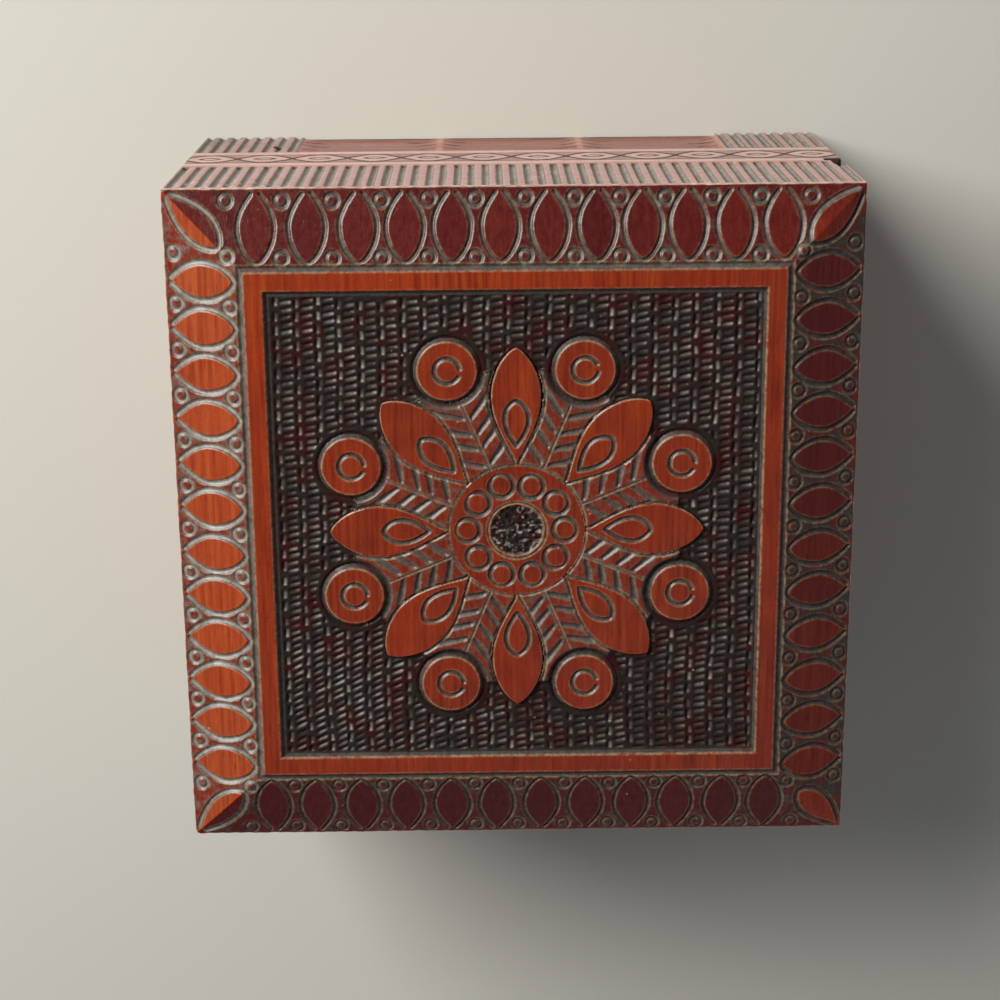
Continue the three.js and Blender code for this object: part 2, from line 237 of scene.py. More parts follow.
class Cut:
    """Carving over a set of points: its depth, its dark hollows, the worn line along its rims, and its pale
    dust with painted highlights
    """

    def __init__(self, like):
        self.depth = np.zeros_like(like)
        self.dark = np.zeros_like(like)
        self.edge = np.zeros_like(like)
        self.dust_and_highlight = np.zeros_like(like)

    def gouge(self, distance, width, depth, mask=1.0, edge=0.5, dust_and_highlight=0.0, spill=0.0):
        """Round-bottomed cut along a line, from the distance of each point to the line"""
        across = np.clip(1 - (2 * distance / width) ** 2, 0, None)
        self.depth = np.maximum(self.depth, depth * across * mask)
        inside = width / 2 - np.abs(distance)
        self.dark = np.maximum(self.dark, ease(inside, -0.04 - spill, 0.16 - spill) * mask)
        self.edge = np.maximum(self.edge, edge * np.exp(-((inside + 0.02) / 0.15) ** 2) * mask)
        # The pale dust on the cut's floor is also painted highlight
        self.dust_and_highlight = np.maximum(self.dust_and_highlight, dust_and_highlight * ease(inside, 0.12, 0.34) * mask)

    def join(self, other, mask=1.0):
        """Adds another carving, as far as the mask says"""
        self.depth = np.maximum(self.depth, other.depth * mask)
        self.dark = np.maximum(self.dark, other.dark * mask)
        self.edge = np.maximum(self.edge, other.edge * mask)
        self.dust_and_highlight = np.maximum(self.dust_and_highlight, other.dust_and_highlight * mask)

    def put(self, where, other):
        """Takes over a carving that was made for some of the points"""
        self.depth[where] = other.depth
        self.dark[where] = other.dark
        self.edge[where] = other.edge
        self.dust_and_highlight[where] = other.dust_and_highlight

    def fill(self, where, depth, dark, edge=0.0, dust_and_highlight=0.0):
        """Gives a region its own depth and darkness"""
        self.depth = np.where(where, depth, self.depth)
        self.dark = np.where(where, dark, self.dark)
        self.edge = np.where(where, edge, self.edge)
        self.dust_and_highlight = np.where(where, dust_and_highlight, self.dust_and_highlight)


def segment_distance(s, z, start, end):
    """Distance from each point to a straight line between two points"""
    run = np.array(end) - np.array(start)
    t = np.clip(((s - start[0]) * run[0] + (z - start[1]) * run[1]) / (run @ run), 0, 1)
    return np.hypot(s - start[0] - t * run[0], z - start[1] - t * run[1])


def curve_distance(u, v, points):
    """Distance from each point to a line through the given points"""
    nearest = np.full_like(u, 99.0)
    for start, end in zip(points[:-1], points[1:]):
        nearest = np.minimum(nearest, segment_distance(u, v, start, end))
    return nearest


def leaf_path(start, widest, end, open_half, half):
    """Half of a leaf's outline, open at its start and closed at its end"""
    t = np.linspace(0, 1, 11)
    swell = 1 - (1 - t) ** 1.85
    outer = np.stack([start + (widest - start) * t, open_half + (half - open_half) * swell], 1)
    turn = t[1:] * math.pi / 2
    inner = np.stack([widest + (end - widest) * np.sin(turn), half * np.cos(turn) ** 1.35], 1)
    return np.concatenate([outer, inner])


def outline_distance(u, v, half_at, end):
    """Distance outside an outline that is given by its half width along u, up to its end"""
    half = half_at(u)
    slope = (half_at(u + 0.05) - half_at(u - 0.05)) / 0.1
    beside = (np.abs(v) - half) / np.sqrt(1 + np.clip(slope, -3, 3) ** 2)
    return np.where(u > end, np.hypot(u - end, v), beside)


def leaf_places(side):
    """Middle of each border leaf along a side, and the middle of each gap"""
    even = (np.arange(LEAF_COUNT) - (LEAF_COUNT - 1) / 2) * sizes().leaf_pitch / MM
    leaves = even * ROW_STRETCH[side] + LEAF_SHIFT[side] + ROW_SHIFT[side]
    if SIDES[side] == "left":
        leaves = even - np.array(LEFT_ROW)
    first, last = END_GAPS[side]
    gaps = np.concatenate([[first], (leaves[1:] + leaves[:-1]) / 2, [last]])
    return leaves, gaps


def leaf_cuts(s, t, side):
    """Leaves between two arcs, the rings between them, each leaf's stray tone and where the leaves are"""
    pitch = sizes().leaf_pitch / MM
    leaves, gaps = leaf_places(side)
    index = np.argmin(np.abs(s[..., None] - leaves), axis=-1)
    ls = s - leaves[index]
    cut = Cut(s)
    path = leaf_path(LEAF_START, LEAF_WIDEST, LEAF_END[side], LEAF_OPEN[side], LEAF_HALF[side])
    beside = np.abs(ls) * (1 - LEAF_GROW[side, index] * 0.25)
    wobble = noise(s, t, 2.3, side * 5.3) * 0.12
    width = LEAF_GROOVE[side] + wobble - 0.005 * (t - 7.0) ** 2
    inside = (np.abs(ls) < pitch * 0.56) & (t > 0.55)
    dust_and_highlight = GROOVE_DUST_AND_HIGHLIGHT[side] * (0.8 + 0.3 * noise(s, t, 1.4, 3.0))
    cut.gouge(curve_distance(t, beside, path), width, 0.5, inside, 0.4, dust_and_highlight)
    near = np.argmin(np.abs(s[..., None] - gaps), axis=-1)
    for row, centre_t in enumerate(RING_ROWS):
        move = RING_SHIFT[side, row, near]
        keep = (((near > 0) & (near < LEAF_COUNT)) | (row == 0)) * ease(t, 0.35, 0.8)
        r = np.hypot(s - gaps[near] - move[..., 0], t - centre_t - RING_IN[side] - 0.6 * move[..., 1])
        cut.gouge(r - RING_RADIUS, RING_WIDTH[side], 0.42, keep, 0.4, dust_and_highlight * 0.9)
        cut.dark = np.where((r < 0.75) & (keep > 0), np.maximum(cut.dark, 0.3), cut.dark)
    leaf = (beside < np.interp(t, path[:, 0], path[:, 1])) & (t < LEAF_END[side])
    rough = 0.65 + (0.25 if SIDES[side] == "front" else 0.45) * noise(s, t, 1.3, side * 2.1)
    cut.dark = np.maximum(cut.dark, BETWEEN_DARK[side] * rough * ~leaf)
    cut.dust_and_highlight = np.maximum(cut.dust_and_highlight, 0.42 * GROOVE_DUST_AND_HIGHLIGHT[side] * rough * ~leaf)
    return cut, STAMP[3, index, 60 + side], leaf


def corner_places(x, y):
    """Place of each point along the diagonal from the nearest corner, and beside the diagonal"""
    p = (2 * HALF / MM - np.abs(x) - np.abs(y)) / math.sqrt(2)
    q = (np.abs(y) - np.abs(x)) / math.sqrt(2)
    return p, q


def corner_leaf_cuts(x, y):
    """One leaf along each diagonal, open to the lid's corner, and a ring at its inner end"""
    p, q = corner_places(x, y)
    stretched = np.where((x > 0) & (y > 0), p * 1.12, p)
    path = leaf_path(1.5, 9.4, CORNER_LEAF_END, 0.45, 2.95)
    # Pale dust and painted highlight in the corner leaves' grooves, most in the front corners, which face the
    # lamp
    dust_and_highlight = np.where(y < 0, 0.6, np.where(x < 0, np.where(q < 0, 0.35, 0.03), 0.1))
    cut = Cut(p)
    reach = ease(p, 1.0, 2.4) * (p < 18)
    cut.gouge(curve_distance(stretched, np.abs(q), path), 1.12, 0.52, reach, 0.45, dust_and_highlight)
    cut.gouge(np.hypot(p - 16.9, q) - 1.15, 0.95, 0.42, 1.0, 0.5, dust_and_highlight)
    return cut


def frame_cuts(cut, d):
    """Cuts the grooves outside and inside the raised square frame"""
    outer = (HALF - sizes().border) / MM
    inner = outer - sizes().strip / MM
    cut.gouge(d - outer - 0.5, 1.35, 0.6, 1.0, 0.8, 0.12)
    cut.gouge(d - inner + 0.5, 1.3, 0.95, 1.0, 0.8, 0.12)


def petal_half(r):
    """Half width of a petal at each distance from the lid's middle"""
    grow = np.clip((r - PETAL_ROOT) / (PETAL_WIDEST - PETAL_ROOT), 0, 1)
    inner = PETAL_HALF * np.sin(grow * math.pi / 2) ** 1.12
    past = np.clip((r - PETAL_WIDEST) / (PETAL_TIP - PETAL_WIDEST), 0, 1)
    outer = PETAL_HALF * (1 - past**2) ** 0.72
    return np.where(r < PETAL_WIDEST, inner, outer)


def petal_distance(u, v):
    """Distance outside a petal's outline, with u along the petal"""
    return outline_distance(u, v, petal_half, PETAL_TIP)


def wedge(t, peak):
    """Smooth rise from 0 at 0 to 1 at the peak and fall back to 0 at 1"""
    rise = np.clip(np.minimum(t / peak, (1 - t) / (1 - peak)), 0, 1)
    return rise * rise * (3 - 2 * rise) * 0.5 + rise * 0.5


def fold(a, b, start):
    """Turns each point to the nearest of eight rays: the place along and beside it, and its number"""
    r = np.hypot(a, b)
    angle = np.arctan2(b, a) - start
    ray = np.round(angle / EIGHTH)
    off = angle - ray * EIGHTH
    return r * np.cos(off), r * np.sin(off), ray.astype(int) % 8


def stray(layer, column, row):
    """Random value of one stamped mark, from -1 to 1"""
    return STAMP[layer, column % STRAYS, row % STRAYS]


def bars(a, b, place, patches):
    """Depth and painted highlights of the columns of short slanting bars, on the part of each dent that faces
    the light
    """
    column = np.floor(place / COLUMN_PITCH + 0.5).astype(int)
    la = place - column * COLUMN_PITCH - 0.2 * stray(0, column, 3)
    slope = 0.13 + 0.3 * ease(-b, 0, 34) * ease(-a, -8, 30) + 0.06 * noise(a, b, 13.0, 41.0)
    lb = b - slope * la + 0.7 * stray(0, column, 7) + 0.16 * noise(a, b, 5.0, 15.0)
    row = np.floor(lb / BAR_PITCH + 0.5).astype(int)
    one = stray(1, column, row)
    two = stray(2, column, row)
    lb = lb - row * BAR_PITCH - 0.1 * one
    la = la - 0.2 * two
    ends = np.clip(1 - np.abs(la / (1.14 + 0.16 * one)) ** 3, 0, 1)
    across = lb / (1.14 + 0.1 * two) + 0.5
    depth = wedge(across, 0.72) * ends * (0.46 + 0.14 * one)
    shine = np.clip(0.5 + 0.5 * stray(3, column, row), 0.08, 1) * patches * (0.6 + 0.5 * ease(la, -0.9, 0.9))
    lit = ease(0.42 - np.abs(across - 0.42), 0, 0.42) * ease(ends, 0.05, 0.8) * shine
    return depth, lit


def dashes(a, b, place, patches):
    """Depth and painted highlights of the upright dashes between the columns of bars"""
    column = np.floor(place / COLUMN_PITCH).astype(int)
    la = place - (column + 0.5) * COLUMN_PITCH - 0.14 * stray(0, column, 9) - 0.12 * noise(a, b, 4.0, 21.0)
    lb = b + 1.3 * stray(3, column, 5) + 0.2 * noise(a, b, 5.0, 17.0)
    row = np.floor(lb / DASH_PITCH + 0.5).astype(int)
    one = stray(3, column, row)
    lb = lb - row * DASH_PITCH - 0.3 * one
    la = la - 0.1 * lb * one
    ends = np.clip(1 - np.abs(lb / (1.0 + 0.15 * one)) ** 3, 0, 1)
    across = la / 1.35 + 0.5
    depth = wedge(across, 0.27) * ends * (0.56 + 0.12 * one)
    shine = np.clip(0.7 + 0.5 * stray(2, column, row), 0.2, 1.2) * patches
    shine = shine * (0.7 + 0.5 * ease(-lb, -0.8, 0.8))
    lit = ease(0.4 - np.abs(across - 0.56), 0, 0.36) * ease(ends, 0.05, 0.8) * shine
    return depth, lit


def weave(a, b):
    """Depth and painted highlights of the ground's stamped pattern"""
    a = a - 0.4
    place = a + (0.22 * noise(a * 0, b, 11.0, 31.0) + 0.22 * noise(a, b, 14.0, 33.0))
    patches = ease(noise(a, b, 8.0, 55.0), -0.75, 0.3) * 0.65 + 0.35
    patches = patches * (0.75 + 0.35 * noise(a, b, 0.9, 71.0))
    bar, bar_lit = bars(a, b, place, patches)
    dash, dash_lit = dashes(a, b, place, patches)
    return np.maximum(bar, dash), np.clip(np.maximum(bar_lit, dash_lit), 0, 1)


def feather_cuts(cut, a, b):
    """Cuts a spine from the hub to each boss, with slanting gouge cuts on both sides"""
    u, v, number = fold(a, b, EIGHTH / 2)
    within = (u > FEATHER_ROOT) & (u < FEATHER_TIP)
    cut.gouge(v, 0.5, 0.28, within, 0.55)
    side = np.abs(v)
    left = (v > 0).astype(int)
    slant = u - side * (0.6 + 0.06 * STAMP[2, number, 30 + left])
    for k in range(5):
        root = FEATHER_ROOT + 0.9 + FEATHER_PITCH * k + 0.35 * STAMP[0, number, 20 + k + 8 * left]
        distance = (slant - root) * 0.85 + 0.07 * noise(a, b, 1.6, k)
        wide = 0.85 + 0.16 * np.clip(side, 0, 4.0)
        cut.gouge(distance, wide, 0.55 * ease(side, 0.3, 0.9), within & (side > 0.25), 0.3, 0.08)


def trench(disc):
    """Depth of the groove round a boss, from the distance to the boss's middle"""
    return TRENCH_DEPTH * np.clip(1 - np.abs(disc - TRENCH_PLACE) / TRENCH_HALF, 0, 1) ** 0.85


def lid_places(x, y):
    """Side of the lid that each point is on, its distance from the middle and its place along the side"""
    side = np.where(np.abs(y) >= np.abs(x), np.where(y < 0, 0, 2), np.where(x > 0, 1, 3))
    return side, np.maximum(np.abs(x), np.abs(y)), np.choose(side, [x, y, -x, -y])


def border_cuts(x, y, outer):
    """Carving of the four borders, each leaf's stray tone, and where all leaves and the corner leaves are"""
    side, d, along = lid_places(x, y)
    border = Cut(d)
    vary = np.zeros_like(d)
    on_leaf = np.zeros(d.shape, dtype=bool)
    for k in range(4):
        here = (side == k) & (d > outer - 0.2)
        if here.any():
            part, change, leaf = leaf_cuts(along[here], HALF / MM - d[here], k)
            border.put(here, part)
            vary[here] = change
            on_leaf[here] = leaf
    p, q = corner_places(x, y)
    in_corner = (p < 14.6) & (np.abs(q) < 3.3 * np.sin(np.clip(p / CORNER_LEAF_END, 0, 1) * math.pi))
    border.dark = np.where(in_corner, 0, border.dark)
    border.dust_and_highlight = np.where(in_corner, 0, border.dust_and_highlight)
    border.join(corner_leaf_cuts(x, y))
    return border, vary, on_leaf | in_corner, in_corner


def middle_cuts(cut, x, y, inner):
    """Cuts all that lies inside the frame, and gives where the woven ground is open and how much pale dust
    and painted highlight it has
    """
    a = y
    b = -x
    d = np.maximum(np.abs(x), np.abs(y))
    r = np.hypot(a, b)
    middle = d < inner
    petal = petal_distance(*fold(a, b, 0.0)[:2])
    boss_u, boss_v, _ = fold(a, b, EIGHTH / 2)
    disc = np.hypot(boss_u - BOSS_PLACE, boss_v)

    carved = Cut(d)
    feather_cuts(carved, a, b)
    carved.gouge(petal - 0.25, 0.62, 0.6, 1.0, 0.7)
    carved.gouge(r - 13.1, 0.5, 0.4, 1.0, 0.8)
    cut.join(carved, middle)

    ragged = r + 0.5 * noise(a, b, 1.6, 19.0)
    ground = ease(ragged, GROUND_START, GROUND_START + 0.7) * middle
    open_ground = ground > 0.02
    marks, lit = weave(a, b)
    waves = noise(a, b, 2.3, 9.0) * 0.07 + noise(a, b, 9.0, 3.0) * 0.1
    rim = ease(inner - d, 0.8, 1.3) * ease(np.minimum(petal, disc - 7.1), 0.2, 0.6)
    field = (sizes().ground / MM + (marks + waves) * rim) * ground
    gloom = np.maximum(0.3 + 0.16 * noise(a, b, 1.1, 23.0), ease(ragged, 29.4, 30.2))
    cut.dark = np.where(middle, np.maximum(cut.dark, gloom), cut.dark)
    cut.dust_and_highlight = np.where(middle & ~open_ground, np.maximum(cut.dust_and_highlight, 0.14 * (r < 29.5)), cut.dust_and_highlight)
    edges = cut.edge * (1 - ease(inner - d, 0.5, 0.8))
    # On the woven ground the pale colour is painted highlight on the lit parts of the stamped marks
    dust_and_highlight = np.where(inner - d < 1.1, cut.dust_and_highlight, 0.5 * lit * rim)
    cut.fill(open_ground, np.maximum(field, cut.depth), np.maximum(ground, cut.dark), edges, dust_and_highlight * ground)

    ring = trench(disc)
    # The trench's outer wall gets a little painted highlight
    cut.fill(middle & (ring > cut.depth), ring, 1.0, 0.0, ease(disc, 6.7, 7.1) * 0.1)
    beneath = middle & ((petal < -0.12) | (disc < 6.2) | (r < 12.7))
    cut.fill(beneath, 1.5, 1.0)
    return open_ground, dust_and_highlight


def border_tone(x, y, vary, on_leaf, in_corner):
    """Tone of the borders' stain, from 0, the darkest, to 1"""
    side = lid_places(x, y)[0]
    tone = np.choose(side, LEAF_TONE) + vary * np.choose(side, LEAF_VARY)
    tone = np.where(side == 2, tone + 0.16 * ease(x, -20, 45), tone)
    tone = np.where(on_leaf, tone, np.choose(side, BETWEEN_TONE))
    tone = np.where((x > 0) & (y > 0) & in_corner, np.where(side == 2, 0.5, 0.42), tone)
    return np.where((x < 0) & (y > 0) & in_corner, 0.06 + 0.02 * corner_places(x, y)[0], tone)


def lid_surface(x, y):
    """Carving of the lid, the tone of its stain and how matte it is"""
    side, d, _ = lid_places(x, y)
    outer = (HALF - sizes().border) / MM
    inner = outer - sizes().strip / MM
    border, vary, on_leaf, in_corner = border_cuts(x, y, outer)
    cut = Cut(d)
    cut.join(border, ease(d, outer - 0.1, outer))
    frame_cuts(cut, d)
    open_ground, dust_and_highlight = middle_cuts(cut, x, y, inner)
    cut.depth = cut.depth + 0.018 * noise(x, y, 1.6, 2.0) + 0.03 * noise(x, y, 7.0, 5.0)

    blotch = noise(x, y, 5.0, 27.0)
    # The frame is lighter on its front and left sides and darker on its back and right sides: painted light
    # and shade from the lamp's side
    frame_tone = 0.56 - (0.1 * y + 0.09 * x) / np.maximum(d, 1) + 0.08 * blotch
    tone = np.where(d < outer, frame_tone, border_tone(x, y, vary, on_leaf, in_corner))
    tone = np.where((np.hypot(x, y) < 31.5) & (d < inner), 0.42 + 0.1 * blotch, tone)
    tone = np.where(open_ground, 0.0, tone)
    # On the woven ground the parts of the marks without painted highlight are made matte, which also gives
    # them the darkest hollow colour as painted shade
    matte = np.where(d > outer, np.choose(side, BORDER_MATTE), open_ground * (1 - dust_and_highlight) * 0.8)
    return cut, tone, matte


def lid_height(x, y):
    """Height of the carved lid at points in millimetres"""
    d = np.maximum(np.abs(x), np.abs(y))
    outer = (HALF - sizes().border) / MM
    slope = sizes().rise / sizes().border
    cut, tone, matte = lid_surface(x, y)
    worn = ease(d, HALF / MM - 0.35, HALF / MM) * (0.6 + 0.4 * noise(x, y, 1.1, 13.0))
    height = BOX_TOP / MM - np.clip(d - outer, 0, None) * slope - cut.depth
    values = {
        "dark": np.clip(cut.dark, 0, 1),
        "edge": np.clip(np.maximum(cut.edge, 0.8 * worn), 0, 1),
        "tone": tone,
        "matte": matte,
        "dust_and_highlight": np.clip(cut.dust_and_highlight, 0, 1),
    }
    return height, values


def flute_cut(s, z, low, high, bank, keep=None):
    """Upright flutes between two heights, with the number of the nearest flute and the place beside it"""
    pitch = sizes().flute_pitch / MM
    most = int(math.floor(HALF / MM / pitch - 0.3))
    index = np.clip(np.round(s / pitch), -most, most).astype(int)
    ls = s - index * pitch - 0.6 * FLUTE_SHIFT[bank, index + MIDDLE_FLUTE] - 0.05 * noise(s, z, 3.0, bank)
    grow = FLUTE_GROW[bank, index + MIDDLE_FLUTE]
    shrink = np.ones_like(s)
    for limit, sign, drift in ((low, 1, 0.5), (high, -1, 0.35)):
        if limit is not None:
            rise = np.clip(sign * (z - limit - drift * FLUTE_SHIFT[bank, index + MIDDLE_FLUTE]) / 0.9, 0, 1)
            shrink = np.minimum(shrink, np.sqrt(np.clip(1 - (1 - rise) ** 2, 0, 1)))
    width = np.maximum(sizes().flute_width / MM * grow * shrink, 0.02)
    depth = sizes().flute_depth / MM * grow * shrink
    on = shrink > 0
    if keep is not None:
        on = on & keep(index * pitch)
    cut = Cut(s)
    # Pale dust and painted light on the flute's wall towards -s, so one wall is painted lighter than the
    # other
    dust_and_highlight = (1 + 0.5 * noise(s, z, 1.2, bank * 1.3)) * ease(-ls, -0.5, 0.6)
    cut.gouge(ls, width, depth, on, 0.25, 0.46 * dust_and_highlight)
    cut.dark = cut.dark * ease(shrink, 0.2, 0.6)
    return cut, index, ls


def edge_wear(s, bank):
    """How far the lid's upper edge is worn back, with a faint wave from the flutes"""
    pitch = sizes().flute_pitch / MM
    wave = 0.04 * (1 - np.cos(2 * math.pi * s / pitch))
    rough = 0.1 * (noise(s, s * 0, 2.6, bank * 3.1) + 1)
    return wave + rough


def soft_corner(s, out, side):
    """Rounds the upright corners at both ends of a side"""
    half = HALF / MM
    ends = (CORNER_ROUND[(side + 3) % 4], CORNER_ROUND[side])
    radius = np.where(s < 0, ends[0], ends[1])
    beside = np.clip(np.abs(s) - half + radius, 0, None)
    ahead = np.clip(out - half + radius, 0, None)
    far = np.hypot(beside, ahead)
    shrink = np.where(far > 0, np.maximum(beside, ahead) / np.where(far > 0, far, 1), 1)
    round_s = np.sign(s) * (half - radius + beside * shrink)
    s = np.where(beside > 0, round_s, s)
    out = np.where(ahead > 0, half - radius + ahead * shrink, out)
    return s, out


def turned(s, out, side):
    """Points beside one side of the box: s along it, out from the middle"""
    angle = side * math.pi / 2
    x = s * math.cos(angle) + out * math.sin(angle)
    y = s * math.sin(angle) - out * math.cos(angle)
    return x, y


# Mesh helpers

def deselect():
    """Leaves edit mode and selects nothing"""
    if bpy.context.object and bpy.context.object.mode != "OBJECT":
        bpy.ops.object.mode_set(mode="OBJECT")
    bpy.ops.object.select_all(action="DESELECT")


def pick(item):
    """Selects one object alone"""
    deselect()
    bpy.context.view_layer.objects.active = item
    item.select_set(True)


def settle(item):
    """Moves an object's place, turn and scale into its mesh"""
    pick(item)
    bpy.ops.object.transform_apply(location=True, rotation=True, scale=True)


def dress(piece, body, node):
    """Attaches a piece to the body it moves with and hides the frame's solid that it stands for"""
    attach(piece, body)
    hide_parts(node)


def read_points(mesh):
    """Places of a mesh's points, in metres"""
    points = np.empty(len(mesh.vertices) * 3)
    mesh.vertices.foreach_get("co", points)
    return points.reshape(-1, 3)


def write_points(mesh, points):
    """Moves a mesh's points"""
    mesh.vertices.foreach_set("co", np.ascontiguousarray(points, dtype=np.float32).ravel())
    mesh.update()


def write_values(mesh, name, values):
    """Keeps one value for each point, under a name that a material can read"""
    layer = mesh.attributes.get(name) or mesh.attributes.new(name, "FLOAT", "POINT")
    layer.data.foreach_set("value", np.ascontiguousarray(values, dtype=np.float32))


def read_values(mesh, name):
    """Values that write_values kept"""
    values = np.empty(len(mesh.vertices), dtype=np.float32)
    mesh.attributes[name].data.foreach_get("value", values)
    return values.astype(float)


def carved_board(name, columns, rows, front, back, materials):
    """Grid moved to a carved face, with its rim carried back and closed.

    front and back take u and v from -1 to 1 and give points in millimetres.
    front gives the finish's values too.
    """
    deselect()
    bpy.ops.mesh.primitive_grid_add(x_subdivisions=columns, y_subdivisions=rows, size=2)
    board = bpy.context.object
    board.name = name
    mesh = board.data
    mesh.name = name
    flat = read_points(mesh)
    u = flat[:, 0].copy()
    v = flat[:, 1].copy()
    points, values = front(u, v)
    write_points(mesh, points * MM)
    for label in ("dark", "edge", "tone", "matte", "dust_and_highlight"):
        write_values(mesh, label, values.get(label, np.zeros_like(u)))
    write_values(mesh, "along", u)
    write_values(mesh, "across", v)
    bpy.ops.object.mode_set(mode="EDIT")
    bpy.ops.mesh.select_mode(type="EDGE")
    bpy.ops.mesh.select_all(action="DESELECT")
    bpy.ops.mesh.select_non_manifold()
    bpy.ops.mesh.mark_sharp()
    bpy.ops.mesh.extrude_edges_move()
    bpy.ops.mesh.mark_sharp()
    bpy.ops.mesh.edge_face_add()
    bpy.ops.object.mode_set(mode="OBJECT")
    count = len(u)
    points = read_points(mesh)
    rim_u = read_values(mesh, "along")[count:]
    rim_v = read_values(mesh, "across")[count:]
    points[count:] = back(rim_u, rim_v, points[count:] / MM) * MM
    write_points(mesh, points)
    for label in ("dark", "edge", "matte", "dust_and_highlight"):
        values = read_values(mesh, label)
        values[count:] = 0
        write_values(mesh, label, values)
    for layer in ("along", "across"):
        mesh.attributes.remove(mesh.attributes[layer])
    bpy.ops.object.mode_set(mode="EDIT")
    bpy.ops.mesh.select_all(action="SELECT")
    bpy.ops.mesh.normals_make_consistent(inside=False)
    bpy.ops.object.mode_set(mode="OBJECT")
    bpy.ops.object.shade_smooth()
    for material in materials:
        mesh.materials.append(material)
    if len(materials) > 1:
        mesh.polygons[len(mesh.polygons) - 1].material_index = 1
    return board


def ratio(a, b):
    """a over b, and 0 where b is 0"""
    return np.where(b != 0, a / np.where(b != 0, b, 1), 0)


def round_grid(u, v):
    """Square grid drawn into a disc of radius 1, with its rings kept round"""
    r = np.maximum(np.abs(u), np.abs(v))
    wide = np.abs(u) >= np.abs(v)
    along = np.where(wide, ratio(v, u), ratio(u, v))
    angle = np.where(wide, along, 2 - along) * math.pi / 4
    sign = np.where(wide, np.sign(u), np.sign(v))
    return r * np.cos(angle) * sign, r * np.sin(angle) * sign


# Materials

def new_group(name, inputs, outputs):
    """Shader node group with its sockets, and its two end nodes"""
    group = bpy.data.node_groups.new(name, "ShaderNodeTree")
    for label, kind, default in inputs:
        socket = group.interface.new_socket(name=label, in_out="INPUT", socket_type=kind)
        socket.default_value = default
    for label, kind in outputs:
        group.interface.new_socket(name=label, in_out="OUTPUT", socket_type=kind)
    return group, group.nodes.new("NodeGroupInput"), group.nodes.new("NodeGroupOutput")


def feed(tree, socket, value):
    """Links an output to a socket, or sets the socket to a number or a colour"""
    if isinstance(value, bpy.types.NodeSocket):
        tree.links.new(value, socket)
    elif isinstance(value, (int, float)):
        socket.default_value = value
    else:
        socket.default_value = (*value[:3], 1)


def math_node(tree, operation, a, b, clamp=False):
    """Sum, difference or product of two values"""
    node = tree.nodes.new("ShaderNodeMath")
    node.operation = operation
    node.use_clamp = clamp
    feed(tree, node.inputs[0], a)
    feed(tree, node.inputs[1], b)
    return node.outputs[0]


def mix_colour(tree, factor, a, b, blend="MIX"):
    """Colour between two others"""
    node = tree.nodes.new("ShaderNodeMix")
    node.data_type = "RGBA"
    node.blend_type = blend
    feed(tree, node.inputs[0], factor)
    feed(tree, node.inputs[6], a)
    feed(tree, node.inputs[7], b)
    return node.outputs[2]


def map_range(tree, value, low, high, to_low=0.0, to_high=1.0):
    """Value stretched from one range to another, and kept inside it"""
    node = tree.nodes.new("ShaderNodeMapRange")
    tree.links.new(value, node.inputs["Value"])
    node.inputs["From Min"].default_value = low
    node.inputs["From Max"].default_value = high
    node.inputs["To Min"].default_value = to_low
    node.inputs["To Max"].default_value = to_high
    return node.outputs["Result"]


def texture(tree, kind, vector, **settings):
    """Texture node at a place, with its settings"""
    node = tree.nodes.new(kind)
    for label, value in settings.items():
        node.inputs[label].default_value = value
    tree.links.new(vector, node.inputs["Vector"])
    return node


def bump(tree, shader, height, strength, distance):
    """Gives a shader a bumped surface"""
    node = tree.nodes.new("ShaderNodeBump")
    node.inputs["Strength"].default_value = strength
    node.inputs["Distance"].default_value = distance * MM
    tree.links.new(height, node.inputs["Height"])
    tree.links.new(node.outputs[0], shader.inputs["Normal"])


def grain_group():
    """Streaks and pores of the wood, along the first axis of the vector that it is given"""
    group, inside, outside = new_group(
        "Wood Grain",
        (("Vector", "NodeSocketVector", (0, 0, 0)), ("Fineness", "NodeSocketFloat", 1.0)),
        (("Streaks", "NodeSocketFloat"), ("Pores", "NodeSocketFloat"), ("Clouds", "NodeSocketFloat")),
    )
    stretch = group.nodes.new("ShaderNodeMapping")
    stretch.inputs["Scale"].default_value = (55, 1250, 1250)
    group.links.new(inside.outputs["Vector"], stretch.inputs["Vector"])
    fine = group.nodes.new("ShaderNodeVectorMath")
    fine.operation = "SCALE"
    group.links.new(stretch.outputs[0], fine.inputs[0])
    group.links.new(inside.outputs["Fineness"], fine.inputs["Scale"])
    streaks = texture(group, "ShaderNodeTexNoise", fine.outputs[0], Scale=1.0, Detail=4.0, Roughness=0.6)
    group.links.new(map_range(group, streaks.outputs[0], 0.32, 0.68), outside.inputs["Streaks"])
    short = group.nodes.new("ShaderNodeMapping")
    short.inputs["Scale"].default_value = (260, 3000, 3000)
    group.links.new(inside.outputs["Vector"], short.inputs["Vector"])
    pores = texture(group, "ShaderNodeTexNoise", short.outputs[0], Scale=1.0, Detail=2.0, Roughness=0.5)
    group.links.new(map_range(group, pores.outputs[0], 0.58, 0.72), outside.inputs["Pores"])
    place = inside.outputs["Vector"]
    clouds = texture(group, "ShaderNodeTexNoise", place, Scale=70.0, Detail=3.0, Roughness=0.55)
    group.links.new(map_range(group, clouds.outputs[0], 0.3, 0.7), outside.inputs["Clouds"])
    return group


